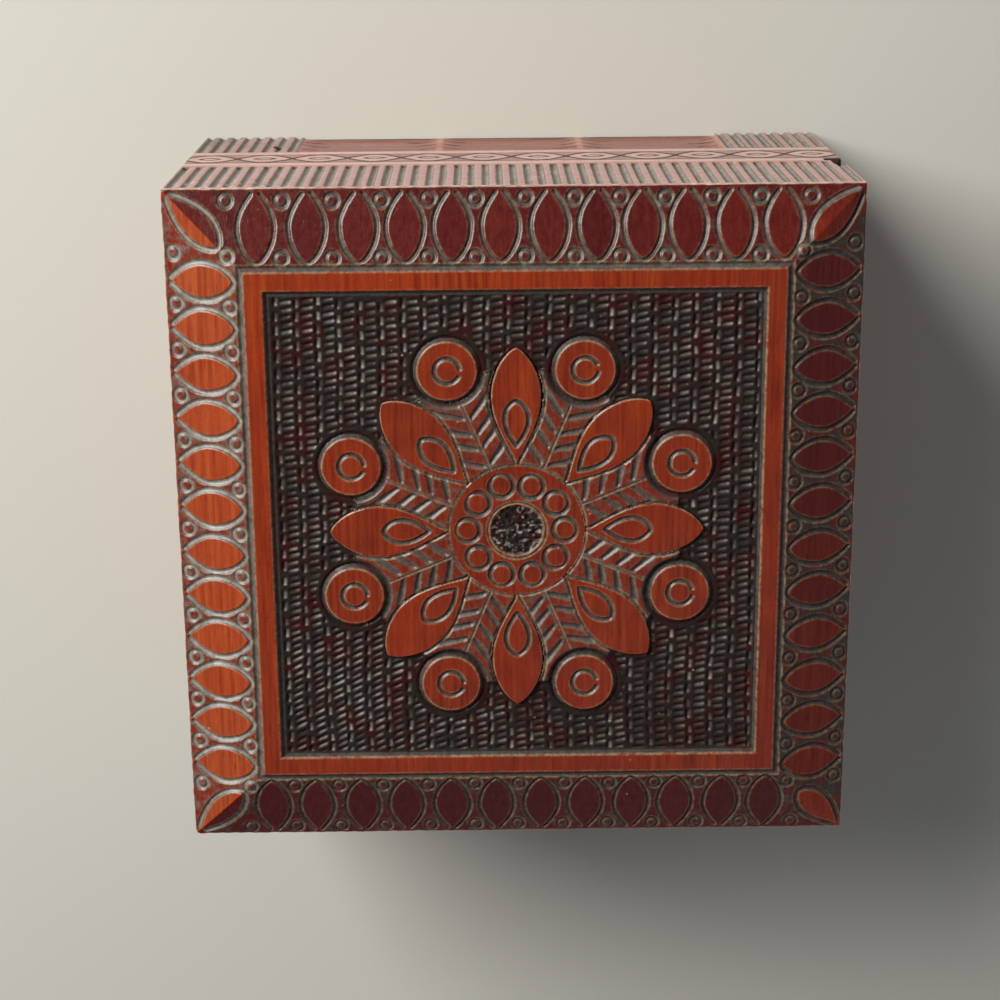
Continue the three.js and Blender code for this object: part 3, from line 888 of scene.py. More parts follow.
def wear_group():
    """Small pale nicks and specks of dust"""
    group, inside, outside = new_group(
        "Nicks", (("Vector", "NodeSocketVector", (0, 0, 0)),), (("Nicks", "NodeSocketFloat"),)
    )
    specks = texture(group, "ShaderNodeTexVoronoi", inside.outputs["Vector"], Scale=520.0)
    small = map_range(group, specks.outputs["Distance"], 0.16, 0.08)
    chosen = texture(group, "ShaderNodeTexNoise", inside.outputs["Vector"], Scale=160.0, Detail=2.0)
    rare = map_range(group, chosen.outputs[0], 0.64, 0.7)
    group.links.new(math_node(group, "MULTIPLY", small, rare, True), outside.inputs["Nicks"])
    return group


def place_group(tree, name, make, **links):
    """Shared node group placed in a material, made when it is first asked for"""
    node = tree.nodes.new("ShaderNodeGroup")
    node.node_tree = bpy.data.node_groups.get(name) or make()
    for label, value in links.items():
        feed(tree, node.inputs[label], value)
    return node


def plain_material(name):
    """New material with its node tree and its shader"""
    material = bpy.data.materials.new(name)
    material.use_nodes = True
    tree = material.node_tree
    return material, tree, tree.nodes["Principled BSDF"]


def object_vector(tree, turn=0.0):
    """Object coordinates turned about the upright axis"""
    coordinate = tree.nodes.new("ShaderNodeTexCoord")
    mapping = tree.nodes.new("ShaderNodeMapping")
    mapping.inputs["Rotation"].default_value = (0, 0, turn)
    tree.links.new(coordinate.outputs["Object"], mapping.inputs["Vector"])
    return mapping.outputs[0]


def value_of(tree, name):
    """Value that the mesh holds under a name"""
    node = tree.nodes.new("ShaderNodeAttribute")
    node.attribute_name = name
    return node.outputs["Fac"]


def shade(stain, *factors):
    """Colour times one factor, or times one for each channel"""
    if len(factors) == 1:
        factors = factors * 3
    return tuple(c * f for c, f in zip(stain, factors))


# How the streaks darken and lighten a stain, and the bare wood in the nicks
STREAK_DARK = (0.45, 0.28, 0.28)
STREAK_LIGHT = (1.3, 2.1, 1.9)
NICK = (0.5, 0.36, 0.24)


def stained(tree, grain, light, middle, dark):
    """Stained wood in the mesh's own tone, with streaks, clouds and pores"""
    ramp = tree.nodes.new("ShaderNodeValToRGB")
    ramp.color_ramp.elements[0].color = (*dark, 1)
    ramp.color_ramp.elements[1].color = (*light, 1)
    ramp.color_ramp.elements.new(0.8).color = (*middle, 1)
    tree.links.new(value_of(tree, "tone"), ramp.inputs[0])
    stain = ramp.outputs[0]
    darker = mix_colour(tree, 1.0, stain, STREAK_DARK, "MULTIPLY")
    lighter = mix_colour(tree, 1.0, stain, STREAK_LIGHT, "MULTIPLY")
    streaked = mix_colour(tree, grain.outputs["Streaks"], darker, lighter)
    cloudy = mix_colour(tree, map_range(tree, grain.outputs["Clouds"], 0, 1, 0.25, 0.75), streaked, stain)
    return mix_colour(tree, map_range(tree, grain.outputs["Pores"], 0, 1, 0.0, 0.55), cloudy, darker)


def hollows(tree, vector, rub, matte, hollow, dark):
    """Crumbly colour in the cuts, deeper where the surface is matte, with pale dust and painted highlights"""
    patch = texture(tree, "ShaderNodeTexNoise", vector, Scale=190.0, Detail=3.0)
    reddish = map_range(tree, patch.outputs[0], 0.45, 0.7, 0.0, 0.75)
    crumbled = mix_colour(tree, map_range(tree, rub, 0.35, 0.65), hollow, shade(hollow, 1.9))
    shallow = mix_colour(tree, reddish, crumbled, dark)
    deep = mix_colour(tree, reddish, shade(hollow, 0.42, 0.32, 0.32), shade(dark, 0.5))
    either = mix_colour(tree, matte, shallow, deep)
    dust_and_highlight = math_node(tree, "MULTIPLY", value_of(tree, "dust_and_highlight"), map_range(tree, rub, 0.3, 0.6, 0.6, 1.1), True)
    return mix_colour(tree, dust_and_highlight, either, colours().dust_and_highlight)


def carved_wood(name, turn, light, middle, dark, hollow, bare, dull=0.0):
    """Stained and lacquered wood with dark hollows, from the values that the mesh holds"""
    if name in bpy.data.materials:
        return bpy.data.materials[name]
    material, tree, shader = plain_material(name)
    vector = object_vector(tree, turn)
    grain = place_group(tree, "Wood Grain", grain_group, Vector=vector, Fineness=1.0)
    nicks = place_group(tree, "Nicks", wear_group, Vector=vector)
    rub = texture(tree, "ShaderNodeTexNoise", vector, Scale=900.0, Detail=3.0, Roughness=0.7).outputs[0]
    cut = value_of(tree, "dark")
    matte = value_of(tree, "matte")

    ragged = math_node(tree, "ADD", cut, map_range(tree, rub, 0.3, 0.7, -0.2, 0.2), True)
    sunk = map_range(tree, ragged, 0.25, 0.75)
    wood = stained(tree, grain, light, middle, dark)
    base = mix_colour(tree, sunk, wood, hollows(tree, vector, rub, matte, hollow, dark))
    rim = math_node(tree, "MULTIPLY", value_of(tree, "edge"), map_range(tree, rub, 0.35, 0.6, 0.1, 1.0))
    base = mix_colour(tree, rim, base, bare)
    base = mix_colour(tree, math_node(tree, "MULTIPLY", nicks.outputs[0], 0.6), base, NICK)
    tree.links.new(base, shader.inputs["Base Color"])

    rough = map_range(tree, rub, 0.3, 0.7, 0.2, 0.34)
    rough = math_node(tree, "ADD", rough, math_node(tree, "MULTIPLY", matte, dull))
    tree.links.new(rough, shader.inputs["Roughness"])
    gloss = map_range(tree, matte, 0, 1, 0.4, 0.06)
    gloss = math_node(tree, "MULTIPLY", gloss, map_range(tree, sunk, 0, 1, 1.0, 0.7))
    tree.links.new(gloss, shader.inputs["Specular IOR Level"])
    tree.links.new(math_node(tree, "MULTIPLY", gloss, 0.6), shader.inputs["Coat Weight"])
    shader.inputs["Coat Roughness"].default_value = 0.12

    height = math_node(tree, "MULTIPLY", grain.outputs["Streaks"], 0.35)
    height = math_node(tree, "SUBTRACT", height, math_node(tree, "MULTIPLY", grain.outputs["Pores"], 0.4))
    crumbs = math_node(tree, "MULTIPLY", rub, math_node(tree, "MULTIPLY", cut, 2.0))
    bump(tree, shader, math_node(tree, "ADD", height, crumbs), 0.35, 0.12)
    return material


def plain_wood(name, turn):
    """Unlacquered wood inside the box"""
    if name in bpy.data.materials:
        return bpy.data.materials[name]
    material, tree, shader = plain_material(name)
    vector = object_vector(tree, turn)
    grain = place_group(tree, "Wood Grain", grain_group, Vector=vector, Fineness=0.6)
    light = colours().inside
    streaks = map_range(tree, grain.outputs["Streaks"], 0, 1, 0.1, 0.8)
    base = mix_colour(tree, streaks, light, shade(light, 0.6))
    pores = math_node(tree, "MULTIPLY", grain.outputs["Pores"], 0.6)
    base = mix_colour(tree, pores, base, shade(light, 0.35))
    tree.links.new(base, shader.inputs["Base Color"])
    tree.links.new(map_range(tree, grain.outputs["Clouds"], 0, 1, 0.5, 0.66), shader.inputs["Roughness"])
    bump(tree, shader, grain.outputs["Streaks"], 0.3, 0.1)
    return material


def brass_metal():
    """Dulled brass with cloudy tarnish"""
    if "Hinge Brass" in bpy.data.materials:
        return bpy.data.materials["Hinge Brass"]
    material, tree, shader = plain_material("Hinge Brass")
    tarnish = texture(tree, "ShaderNodeTexNoise", object_vector(tree), Scale=420.0, Detail=4.0).outputs[0]
    bright = colours().brass
    base = mix_colour(tree, map_range(tree, tarnish, 0.35, 0.7), bright, shade(bright, 0.5))
    tree.links.new(base, shader.inputs["Base Color"])
    shader.inputs["Metallic"].default_value = 1.0
    tree.links.new(map_range(tree, tarnish, 0.3, 0.7, 0.26, 0.48), shader.inputs["Roughness"])
    return material


def lid_wood():
    """Finish of the lid's carving"""
    c = colours()
    return carved_wood("Lid Carving", 0.0, c.orange, c.red, c.wine, c.hollow, c.rim)


def wall_grain(side):
    """Name and turn of the grain along a side"""
    return ("Across", 0.0) if side % 2 == 0 else ("Along", math.pi / 2)


def wall_wood(side):
    """Finish of a wall's carving"""
    c = colours()
    way, turn = wall_grain(side)
    name = f"Wall Carving {way}"
    return carved_wood(name, turn, c.side_light, c.side, c.side_dark, c.side_hollow, c.side_rim, 0.4)


def inside_wood(side=0):
    """Plain wood of a wall's inner face"""
    way, turn = wall_grain(side)
    return plain_wood(f"Inside Wood {way}", turn)


# Pieces

# How deep the lid's carved pieces reach below its top, and how far they pass their seams
LID_DEEP = 6.2
ROSETTE_DEEP = 1.55
SEAM = 0.5

# Grids of the pieces whose detail doesn't follow the carving step
FRAME_GRID = (440, 24)
PETAL_GRID = (100, 44)
BOSS_GRID = (72, 72)
HUB_GRID = (136, 136)


def lid_piece(name, grid, front, back):
    """Carved piece of the lid's board"""
    board = carved_board(name, *grid, front, back, [lid_wood()])
    dress(board, "lid", "lid_board")


def straight_back(drop):
    """Carries a rim straight down to one level"""

    def back(u, v, points):
        points[:, 2] = BOX_TOP / MM - drop
        return points

    return back


def edge_round(distance, radius):
    """Drop of a softened edge, from the distance inside it"""
    t = np.clip(1 - distance / radius, 0, 1)
    return radius * (1 - np.sqrt(np.clip(1 - t * t, 0, 1)))


def rim_line(inside):
    """Worn line just inside an outline"""
    return 0.9 * np.exp(-(((inside - 0.08) / 0.15) ** 2))


class JEWELRYBOX_OT_border(bpy.types.Operator):
    """Carves the four sloping borders of leaves"""

    bl_idname = "jewelrybox.border"
    bl_label = "Leaf Borders"

    def execute(self, context):
        half = HALF / MM
        near = half - sizes().border / MM + SEAM
        step = sizes().step / MM
        grid = (int(2 * half / step), int((half - near) / step))
        for side, name in enumerate(SIDES):

            def front(u, v):
                inward = (v + 1) / 2
                plain = half - inward * (half - near)
                s = u * plain
                out = near + (half - edge_wear(u * half, side) - near) * (1 - inward)
                x, y = turned(s, out, side)
                z, values = lid_height(x, y)
                z = z - edge_round(half - plain, 0.18)
                x, y = turned(*soft_corner(s, out, side), side)
                return np.stack([x, y, z], 1), values

            def back(u, v, points):
                out = np.where(v > 0, near + 0.6, half - 2.4)
                x, y = turned(u * (out - 0.6), out, side)
                return np.stack([x, y, np.full_like(x, BOX_TOP / MM - LID_DEEP)], 1)

            lid_piece(f"lid_border_{name}", grid, front, back)
        return {"FINISHED"}


class JEWELRYBOX_OT_frame(bpy.types.Operator):
    """Carves the raised square frame"""

    bl_idname = "jewelrybox.frame"
    bl_label = "Square Frame"

    def execute(self, context):
        outer = (HALF - sizes().border) / MM + SEAM
        inner = outer - sizes().strip / MM - 2 * SEAM
        for side, name in enumerate(SIDES):

            def front(u, v):
                out = outer + (inner - outer) * (v + 1) / 2
                x, y = turned(u * out, out, side)
                z, values = lid_height(x, y)
                return np.stack([x, y, z], 1), values

            lid_piece(f"lid_frame_{name}", FRAME_GRID, front, straight_back(LID_DEEP))
        return {"FINISHED"}


class JEWELRYBOX_OT_ground(bpy.types.Operator):
    """Carves the woven ground and the feathers in four quarters"""

    bl_idname = "jewelrybox.ground"
    bl_label = "Woven Ground"

    def execute(self, context):
        reach = (HALF - sizes().border - sizes().strip) / MM - SEAM
        number = int(reach / (sizes().step / MM) * 0.92)
        for x_sign, y_sign, name in (
            (-1, -1, "front_left"),
            (1, -1, "front_right"),
            (-1, 1, "back_left"),
            (1, 1, "back_right"),
        ):

            def front(u, v):
                x = x_sign * reach * (u + 1) / 2
                y = y_sign * reach * (v + 1) / 2
                z, values = lid_height(x, y)
                return np.stack([x, y, z], 1), values

            lid_piece(f"lid_ground_{name}", (number, number), front, straight_back(LID_DEEP))
        return {"FINISHED"}


class JEWELRYBOX_OT_petals(bpy.types.Operator):
    """Carves the eight petals of the rosette"""

    bl_idname = "jewelrybox.petals"
    bl_label = "Petals"

    def execute(self, context):
        for k in range(8):
            self.petal(k)
        return {"FINISHED"}

    def petal(self, k):
        """One petal of the rosette"""
        angle = k * EIGHTH
        root = PETAL_ROOT + 0.15
        tip = PETAL_TIP - 0.05
        vein = leaf_path(16.7, 21.9, 25.4, 0.0, 2.3 + 0.1 * STAMP[2, k, 41])

        def front(u, v):
            r = root + (tip - root) * (u + 1) / 2
            half = np.maximum(petal_half(r) * PETAL_GROW[k], 0.22)
            w = v * half
            cut = Cut(r)
            cut.gouge(curve_distance(r, np.abs(w), vein), 0.95, 0.5, 1.0, 0.5, 0.1)
            inside = (1 - np.abs(v)) * half
            depth = cut.depth + edge_round(inside, 0.28) + 0.02 * noise(r, w + 9 * k, 1.7)
            depth = depth - 0.06 * (1 - v * v)
            values = {
                "dark": np.maximum(cut.dark, 0.4 * ease(0.06 - inside, 0.0, 0.06)),
                "edge": np.maximum(cut.edge, rim_line(inside)),
                "tone": 0.55 + 0.06 * STAMP[1, k, 9] + 0.12 * noise(r, w + 9 * k, 4.5),
                "dust_and_highlight": cut.dust_and_highlight,
            }
            a = r * math.cos(angle) - w * math.sin(angle)
            b = r * math.sin(angle) + w * math.cos(angle)
            return np.stack([-b, a, BOX_TOP / MM - 0.06 - depth], 1), values

        lid_piece(f"rosette_petal_{k + 1}", PETAL_GRID, front, straight_back(ROSETTE_DEEP))


class JEWELRYBOX_OT_bosses(bpy.types.Operator):
    """Carves the eight round bosses of the rosette, each with the inner slope of its groove"""

    bl_idname = "jewelrybox.bosses"
    bl_label = "Bosses"

    def execute(self, context):
        for k in range(8):
            self.boss(k)
        return {"FINISHED"}

    def boss(self, k):
        """One boss between two petals"""
        angle = (k + 0.5) * EIGHTH
        centre_a = BOSS_PLACE * math.cos(angle)
        centre_b = BOSS_PLACE * math.sin(angle)
        rim = TRENCH_PLACE - TRENCH_HALF + 0.03

        def front(u, v):
            a, b = round_grid(u, v)
            a = a * BOSS_REACH
            b = b * BOSS_REACH
            r = np.hypot(a, b)
            cut = Cut(r)
            turn = np.arctan2(b, a) + 0.3 * STAMP[0, k, 60]
            cut.gouge(r - 2.4, 0.95, 0.5, ease(np.abs(turn), 0.12, 0.3), 0.6, 0.1)
            depth = cut.depth + trench(r) + 0.02 * noise(a + 20 * k, b, 1.7)
            values = {
                "dark": np.maximum(cut.dark, ease(r, rim - 0.02, rim + 0.14)),
                "edge": np.maximum(cut.edge, rim_line(rim - r)),
                "tone": 0.52 + 0.06 * STAMP[1, k, 19] + 0.1 * noise(a + 20 * k, b, 4.0),
                "dust_and_highlight": cut.dust_and_highlight,
            }
            return np.stack([-(centre_b + b), centre_a + a, BOX_TOP / MM - 0.05 - depth], 1), values

        lid_piece(f"rosette_boss_{k + 1}", BOSS_GRID, front, straight_back(ROSETTE_DEEP))


class JEWELRYBOX_OT_hub(bpy.types.Operator):
    """Carves the beaded hub of the rosette"""

    bl_idname = "jewelrybox.hub"
    bl_label = "Hub"

    reach = 12.95
    floor_reach = 5.15
    bead_count = 10
    bead_place = 9.25
    bead_radius = 2.28

    def bead_distance(self, a, b, r):
        """Distance to the middle of the nearest bead"""
        share = 2 * math.pi / self.bead_count
        angle = np.arctan2(b, a)
        number = np.round(angle / share).astype(int)
        off = angle - number * share
        number = number % self.bead_count
        place = self.bead_place + 0.15 * STAMP[0, number, 90]
        return np.hypot(r * np.cos(off) - place, r * np.sin(off) - 0.12 * STAMP[1, number, 90])

    def execute(self, context):

        def front(u, v):
            a, b = round_grid(u, v)
            a = a * self.reach
            b = b * self.reach
            r = np.hypot(a, b)
            cut = Cut(r)
            fade = 1 - 0.45 * ease(r, 10.4, 11.8)
            bead = self.bead_distance(a, b, r) - self.bead_radius
            cut.gouge(bead, 1.05 * fade, 0.5 * fade, 1.0, 0.5, 0.1)
            within = self.floor_reach - r
            floor = ease(within, 0, 0.35)
            dots = np.clip(noise(a, b, 0.62, 4.0) * 0.9 + 0.35, 0, 1)
            specks = ease(noise(a, b, 0.5, 44.0), 0.3, 0.7) * floor
            deep = floor * (0.3 + 0.5 * dots)
            cut.fill(within > 0, deep, ease(within, 0, 0.2), rim_line(within), 0.6 * specks)
            cut.gouge(-within - 0.4, 0.5, 0.25, 1.0, 0.9)
            inside = self.reach - r
            depth = cut.depth + edge_round(inside, 0.3) + 0.02 * noise(a, b, 1.7, 3.0)
            values = {
                "dark": np.maximum(cut.dark, 0.4 * ease(0.06 - inside, 0.0, 0.06)),
                "edge": np.maximum(cut.edge, 0.7 * rim_line(inside)),
                "tone": 0.46 + 0.1 * noise(a, b, 4.0, 6.0),
                "dust_and_highlight": cut.dust_and_highlight,
                "matte": 0.75 * (r < 5.0) * (1 - specks),
            }
            return np.stack([-b, a, BOX_TOP / MM - 0.04 - depth], 1), values

        lid_piece("rosette_hub", HUB_GRID, front, straight_back(ROSETTE_DEEP))
        return {"FINISHED"}


def bar_between(low, high):
    """Plain bar between two corners, in metres"""
    deselect()
    low = Vector(low)
    high = Vector(high)
    bpy.ops.mesh.primitive_cube_add(size=1, location=(low + high) / 2, scale=high - low)
    bar = bpy.context.object
    settle(bar)
    return bar


def plain_board(name, low, high, bevel):
    """Plain board with softened edges between two corners"""
    board = bar_between(low, high)
    board.name = name
    board.data.name = name
    bpy.ops.object.mode_set(mode="EDIT")
    bpy.ops.mesh.select_all(action="SELECT")
    bpy.ops.mesh.bevel(offset=bevel, segments=2)
    bpy.ops.object.mode_set(mode="OBJECT")
    board.data.materials.append(inside_wood())
    bpy.ops.object.shade_smooth_by_angle(angle=math.radians(40))
    return board


class JEWELRYBOX_OT_boards(bpy.types.Operator):
    """Makes the plain underside of the lid board and the floor of the base"""

    bl_idname = "jewelrybox.boards"
    bl_label = "Plain Boards"

    def execute(self, context):
        reach = HALF - 2.1 * MM
        low = (-reach, -reach, BOARD_BOTTOM)
        high = (reach, reach, BOX_TOP - LID_DEEP * MM)
        underside = plain_board("lid_board_underside", low, high, 0.2 * MM)
        dress(underside, "lid", "lid_board")
        floor = plain_board("base_floor_board", *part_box("base_floor"), 0.3 * MM)
        dress(floor, "base", "base_floor")
        return {"FINISHED"}


# Walls

# Distance between a wall's columns, the tone of its rims, and which end of a side is at the chipped corner
WALL_STEP = 0.25
RIM_TONE = 0.8
CHIPPED_END = {"left": -1, "back": 1}

# Heights and widths on the base
FIELD_TOP = 23.5
BAND_FOOT = 24.0
BAND_MIDDLE = 32.8
BAND_HALF = 5.9
BAND_LINE = 5.35
WAVE_HEIGHT = 4.85
LENS_HALF_LENGTH = 2.1
LENS_HALF_HEIGHT = 1.25
CORNER_WIDTH = 21.0
PANEL_COUNT = 3
MARK_HEIGHTS = (4.0, 9.2, 14.3, 19.2)


def row_place(v, rows):
    """Height of each point in a grid whose rows lie at the given heights"""
    return np.interp((v + 1) / 2 * (len(rows) - 1), np.arange(len(rows)), rows)


def level_back(side, out, highest=math.inf):
    """Carries a rim back to a plane inside the wall, no higher than a limit"""

    def back(u, v, points):
        x, y = turned(u * out, np.full_like(u, out), side)
        return np.stack([x, y, np.minimum(points[:, 2], highest)], 1)

    return back


def carved_wall(name, side, rows, front):
    """Wall with a carved face and a plain back"""
    columns = int(2 * HALF / MM / WALL_STEP)
    back = level_back(side, (HALF - sizes().wall) / MM)
    return carved_board(name, columns, len(rows) - 1, front, back, [wall_wood(side), inside_wood(side)])


def lid_marks(s, rise, ls, index, side):
    """Small cuts at the feet of some flutes and near the tops of others"""
    slot = ease(0.55 - np.abs(ls - 0.1), 0, 0.15) * ease(0.34 - np.abs(rise - 1.5), 0, 0.1) * (index % 4 == 0)
    size = FLUTE_SHIFT[side + 2, index + MIDDLE_FLUTE] * 6
    tick = ease(0.36 - np.hypot(ls - 0.35, (rise - 26.4) * 0.8), 0, 0.12) * (s < 8) * (size > 0.1)
    return np.maximum(slot, tick)


def lid_chip(s, z, rise, side):
    """How far in the chip at the lid's lower left back corner goes"""
    if SIDES[side] not in CHIPPED_END:
        return np.zeros_like(s)
    end = CHIPPED_END[SIDES[side]] * s - HALF / MM
    chip = 2.2 * ease(end, -2.6, -1.2) * ease(4.6 + 0.6 * noise(s, z, 1.1) - rise, 0, 1.6)
    return chip * (1 + 0.15 * noise(s, z, 0.7, 8.0))


def lid_wear(s, z, edge_top, side):
    """Bare wood along the lid's upper edge, with a scratch and specks on the left side"""
    worn = 0.8 * ease(z, edge_top - 2.2, edge_top - 0.3) * (0.62 + 0.38 * noise(s, z, 0.9, 3.0))
    if SIDES[side] == "left":
        scratch = ease(0.2 - segment_distance(s, z, (-3.3, 61.5), (-8.2, 51)), 0, 0.12)
        specks = ease(noise(s, z, 0.45, 5.0), 0.35, 0.6) * ease(s, 36, 50) * ease(z, 58, 66)
        worn = np.maximum(worn, np.maximum(scratch, 0.9 * specks))
    return worn


def lid_wall_front(side, rises):
    """Face of a lid wall over the given heights above its lower edge"""
    half = HALF / MM
    bottom = LID_BOTTOM / MM
    edge_top = (BOX_TOP - sizes().rise) / MM

    def front(u, v):
        s = u * half
        rise = row_place(v, rises)
        z = bottom + rise
        cut, index, ls = flute_cut(s, z, bottom + 0.8, edge_top - 1.0, side)
        mark = lid_marks(s, rise, ls, index, side)
        chip = lid_chip(s, z, rise, side)
        # The chip is painted dark and matte as the shadow in its hollow; the marks are painted dark and matte
        # the same way
        painted_chip_shade = ease(chip, 0.05, 0.3) * ease(rise, 0, 0.2)
        hollow = np.maximum(mark, painted_chip_shade)
        inset = edge_wear(s, side) * ease(z, edge_top - 1.2, edge_top) + edge_round(edge_top - z, 0.18)
        depth = cut.depth + 0.3 * mark + inset + 0.02 * noise(s, z, 2.0, side) + chip
        x, y = turned(*soft_corner(s * (half - chip) / half, half - depth, side), side)
        worn = np.maximum(cut.edge * 0.6, lid_wear(s, z, edge_top, side))
        values = {
            "dark": np.maximum(cut.dark, hollow),
            "edge": np.clip(worn * (1 - mark), 0, 1),
            "tone": np.full_like(s, RIM_TONE),
            "matte": np.maximum(0.35 + 0.3 * cut.dark, hollow),
            "dust_and_highlight": cut.dust_and_highlight * (1 - mark) * (1 - painted_chip_shade),
        }
        return np.stack([x, y, z], 1), values

    return front


class JEWELRYBOX_OT_lid_walls(bpy.types.Operator):
    """Carves the four fluted walls of the lid and the fluted edges of its board"""

    bl_idname = "jewelrybox.lid_walls"
    bl_label = "Lid Walls"

    def execute(self, context):
        half = HALF / MM
        seam = (BOARD_BOTTOM - LID_BOTTOM) / MM
        top = (BOX_TOP - sizes().rise - LID_BOTTOM) / MM
        wall_rises = np.concatenate([np.arange(0, 3.0, 0.2), np.linspace(3.0, seam, 12)])
        edge_rises = np.concatenate(
            [
                np.linspace(seam, top - 3.6, 4),
                np.arange(top - 3.4, top - 0.3, 0.2),
                [top - 0.2, top - 0.12, top - 0.05, top],
            ]
        )
        columns = int(2 * half / WALL_STEP)
        for side, name in enumerate(SIDES):
            wall = carved_wall(f"lid_wall_{name}_carved", side, wall_rises, lid_wall_front(side, wall_rises))
            dress(wall, "lid", f"lid_wall_{name}")
            front = lid_wall_front(side, edge_rises)
            back = level_back(side, half - 2.0, BOX_TOP / MM - LID_DEEP - 0.1)
            rows = len(edge_rises) - 1
            edge = carved_board(f"lid_edge_{name}", columns, rows, front, back, [wall_wood(side)])
            dress(edge, "lid", "lid_board")
        return {"FINISHED"}


def lens_half(u):
    """Half height of the small pointed oval inside a link, at each distance from its middle"""
    return LENS_HALF_HEIGHT * np.clip(1 - (u / LENS_HALF_LENGTH) ** 2, 0, 1)


def chain_cuts(s, z):
    """Band of crossing ovals between two lines, how matte it is and its tone"""
    pitch = sizes().link_pitch / MM
    zc = z - BAND_MIDDLE
    ls = s - (np.floor(s / pitch) + 0.5) * pitch
    ls = ls + 0.12 * noise(s, z, 4.0, 6.0)
    angle = math.pi * ls / pitch
    wave = WAVE_HEIGHT * np.abs(np.cos(angle)) ** 0.9
    slope = WAVE_HEIGHT * math.pi / pitch * np.abs(np.sin(angle))
    distance = (np.abs(zc) - wave) / np.sqrt(1 + slope**2)
    lens = outline_distance(np.abs(ls), zc, lens_half, LENS_HALF_LENGTH)
    knot = np.hypot(np.abs(ls) - pitch / 2, zc * 0.8)
    cut = Cut(s)
    # The chain's lines are shallow cuts painted dark a little past their rims: the cuts' dark stain and
    # painted shade for the depth they lack
    cut.gouge(distance, 1.0, 0.12, 0.85, 0.0, 0.0, 0.1)
    cut.gouge(lens, 0.75, 0.08, 0.85, 0.0, 0.0, 0.1)
    cut.gouge(np.abs(zc) - BAND_LINE, 0.55, 0.08, 0.7, 0.0, 0.0, 0.1)
    cut.gouge(knot, 1.5, 0.12, 1.0, 0.0)
    inside = ease(BAND_HALF - np.abs(zc), 0.0, 0.15)
    cut.depth = cut.depth * inside
    cut.dark = cut.dark * inside
    ridge = ease(np.abs(zc), 5.5, 5.7)
    between = ease(distance, -0.1, 0.1) * inside * (1 - ridge)
    tone = 0.92 - 0.35 * between + 0.08 * ridge
    return cut, np.maximum(0.2 + 0.3 * between, cut.dark), tone


def panel_cuts(s, z):
    """Scooped panels in a sunk field with finger marks at their ends, how matte they are and their tone"""
    field = 2 * (HALF / MM - CORNER_WIDTH)
    pitch = field / PANEL_COUNT
    index = np.clip(np.floor((s + field / 2) / pitch), 0, PANEL_COUNT - 1).astype(int)
    ls = s + field / 2 - (index + 0.5) * pitch
    end = pitch / 2 - 0.45 - np.abs(ls)
    hand = (ls > 0).astype(int)
    below_top = ease(FIELD_TOP - 0.1 - z, 0.0, 0.6)
    scoop = 0.4 * np.sin(np.clip(end / 4.5, 0, 1) * math.pi / 2) ** 1.3 * ease(z, 1.1, 1.7) * below_top
    cut = Cut(s)
    for k, height in enumerate(MARK_HEIGHTS):
        lean = 0.35 * (end - 2) * (0.4 + 0.3 * STAMP[1, index * 2 + hand, 44 + k])
        reach = 5.2 + 2.4 * STAMP[0, 3 * index + hand, 33 + k] - (k == 3) * 1.5
        on = ease(reach - end, 0, 2.5) * ease(end, -0.1, 0.4)
        mark = z - height - lean * np.sign(FIELD_TOP / 2 - height) * 0.5
        cut.gouge(mark, 0.3 + 0.85 * on, 0.4 * on, on > 0.02, 0.1)
    lip = ease(end, 0.5, 2.0)
    cut.gouge(z - 1.0 - 0.08 * noise(s, z * 0, 4.0), 0.25 + 0.2 * lip, 0.15 * lip, lip > 0.05, 0.1)
    cut.depth = cut.depth * 0.8 + scoop + sizes().panel_sink / MM * ease(FIELD_TOP - z, 0, 0.25)
    cut.dark = np.maximum(cut.dark, 0.75 * ease(0.6 - z, 0, 0.3) * ease(end, 0, 0.5))
    tone = 0.8 - 0.34 * ease(end, 0.0, 3.0) * below_top + 0.15 * ease(0.6 - end, 0, 0.6)
    return cut, np.maximum(0.8, cut.dark * 0.9), tone


def hole_and_stain(cut, s, z):
    """Cuts the small hole in the left wall and darkens the stain beside it, and gives where the hole is"""
    place = np.hypot(s - 48.2, (z - 16.0) * 0.45)
    hole = ease(1.0 - place, 0, 0.25)
    stain = 0.75 * ease(s + 0.3 * (12 - z), 56, 64) * ease(24 - z, 0, 3)
    cut.depth = cut.depth + 0.9 * ease(0.9 - place, 0, 0.3)
    cut.dark = np.maximum(cut.dark, np.maximum(hole, stain))
    cut.dust_and_highlight = cut.dust_and_highlight * (1 - hole)
    return hole


def base_notch(s, z, top, side):
    """How far in the notch at the base's upper left back corner goes, and where its wood is painted dark as
    the shadow in the notch
    """
    if SIDES[side] not in CHIPPED_END:
        return np.zeros_like(s), np.zeros_like(s)
    end = CHIPPED_END[SIDES[side]] * s - HALF / MM
    notch = ease(end, -3.6, -2.4) * ease(z - top, -2.5, -1.7)
    # The wood at the notch's rim is painted dark as the shadow in the notch
    painted_chip_shade = ease(end, -3.9, -3.4) * ease(z - top, -2.7, -2.5) * ease(top - z, 0, 0.1)
    return 2.8 * notch * (1 + 0.1 * noise(s, z, 0.7, 8.0)), painted_chip_shade


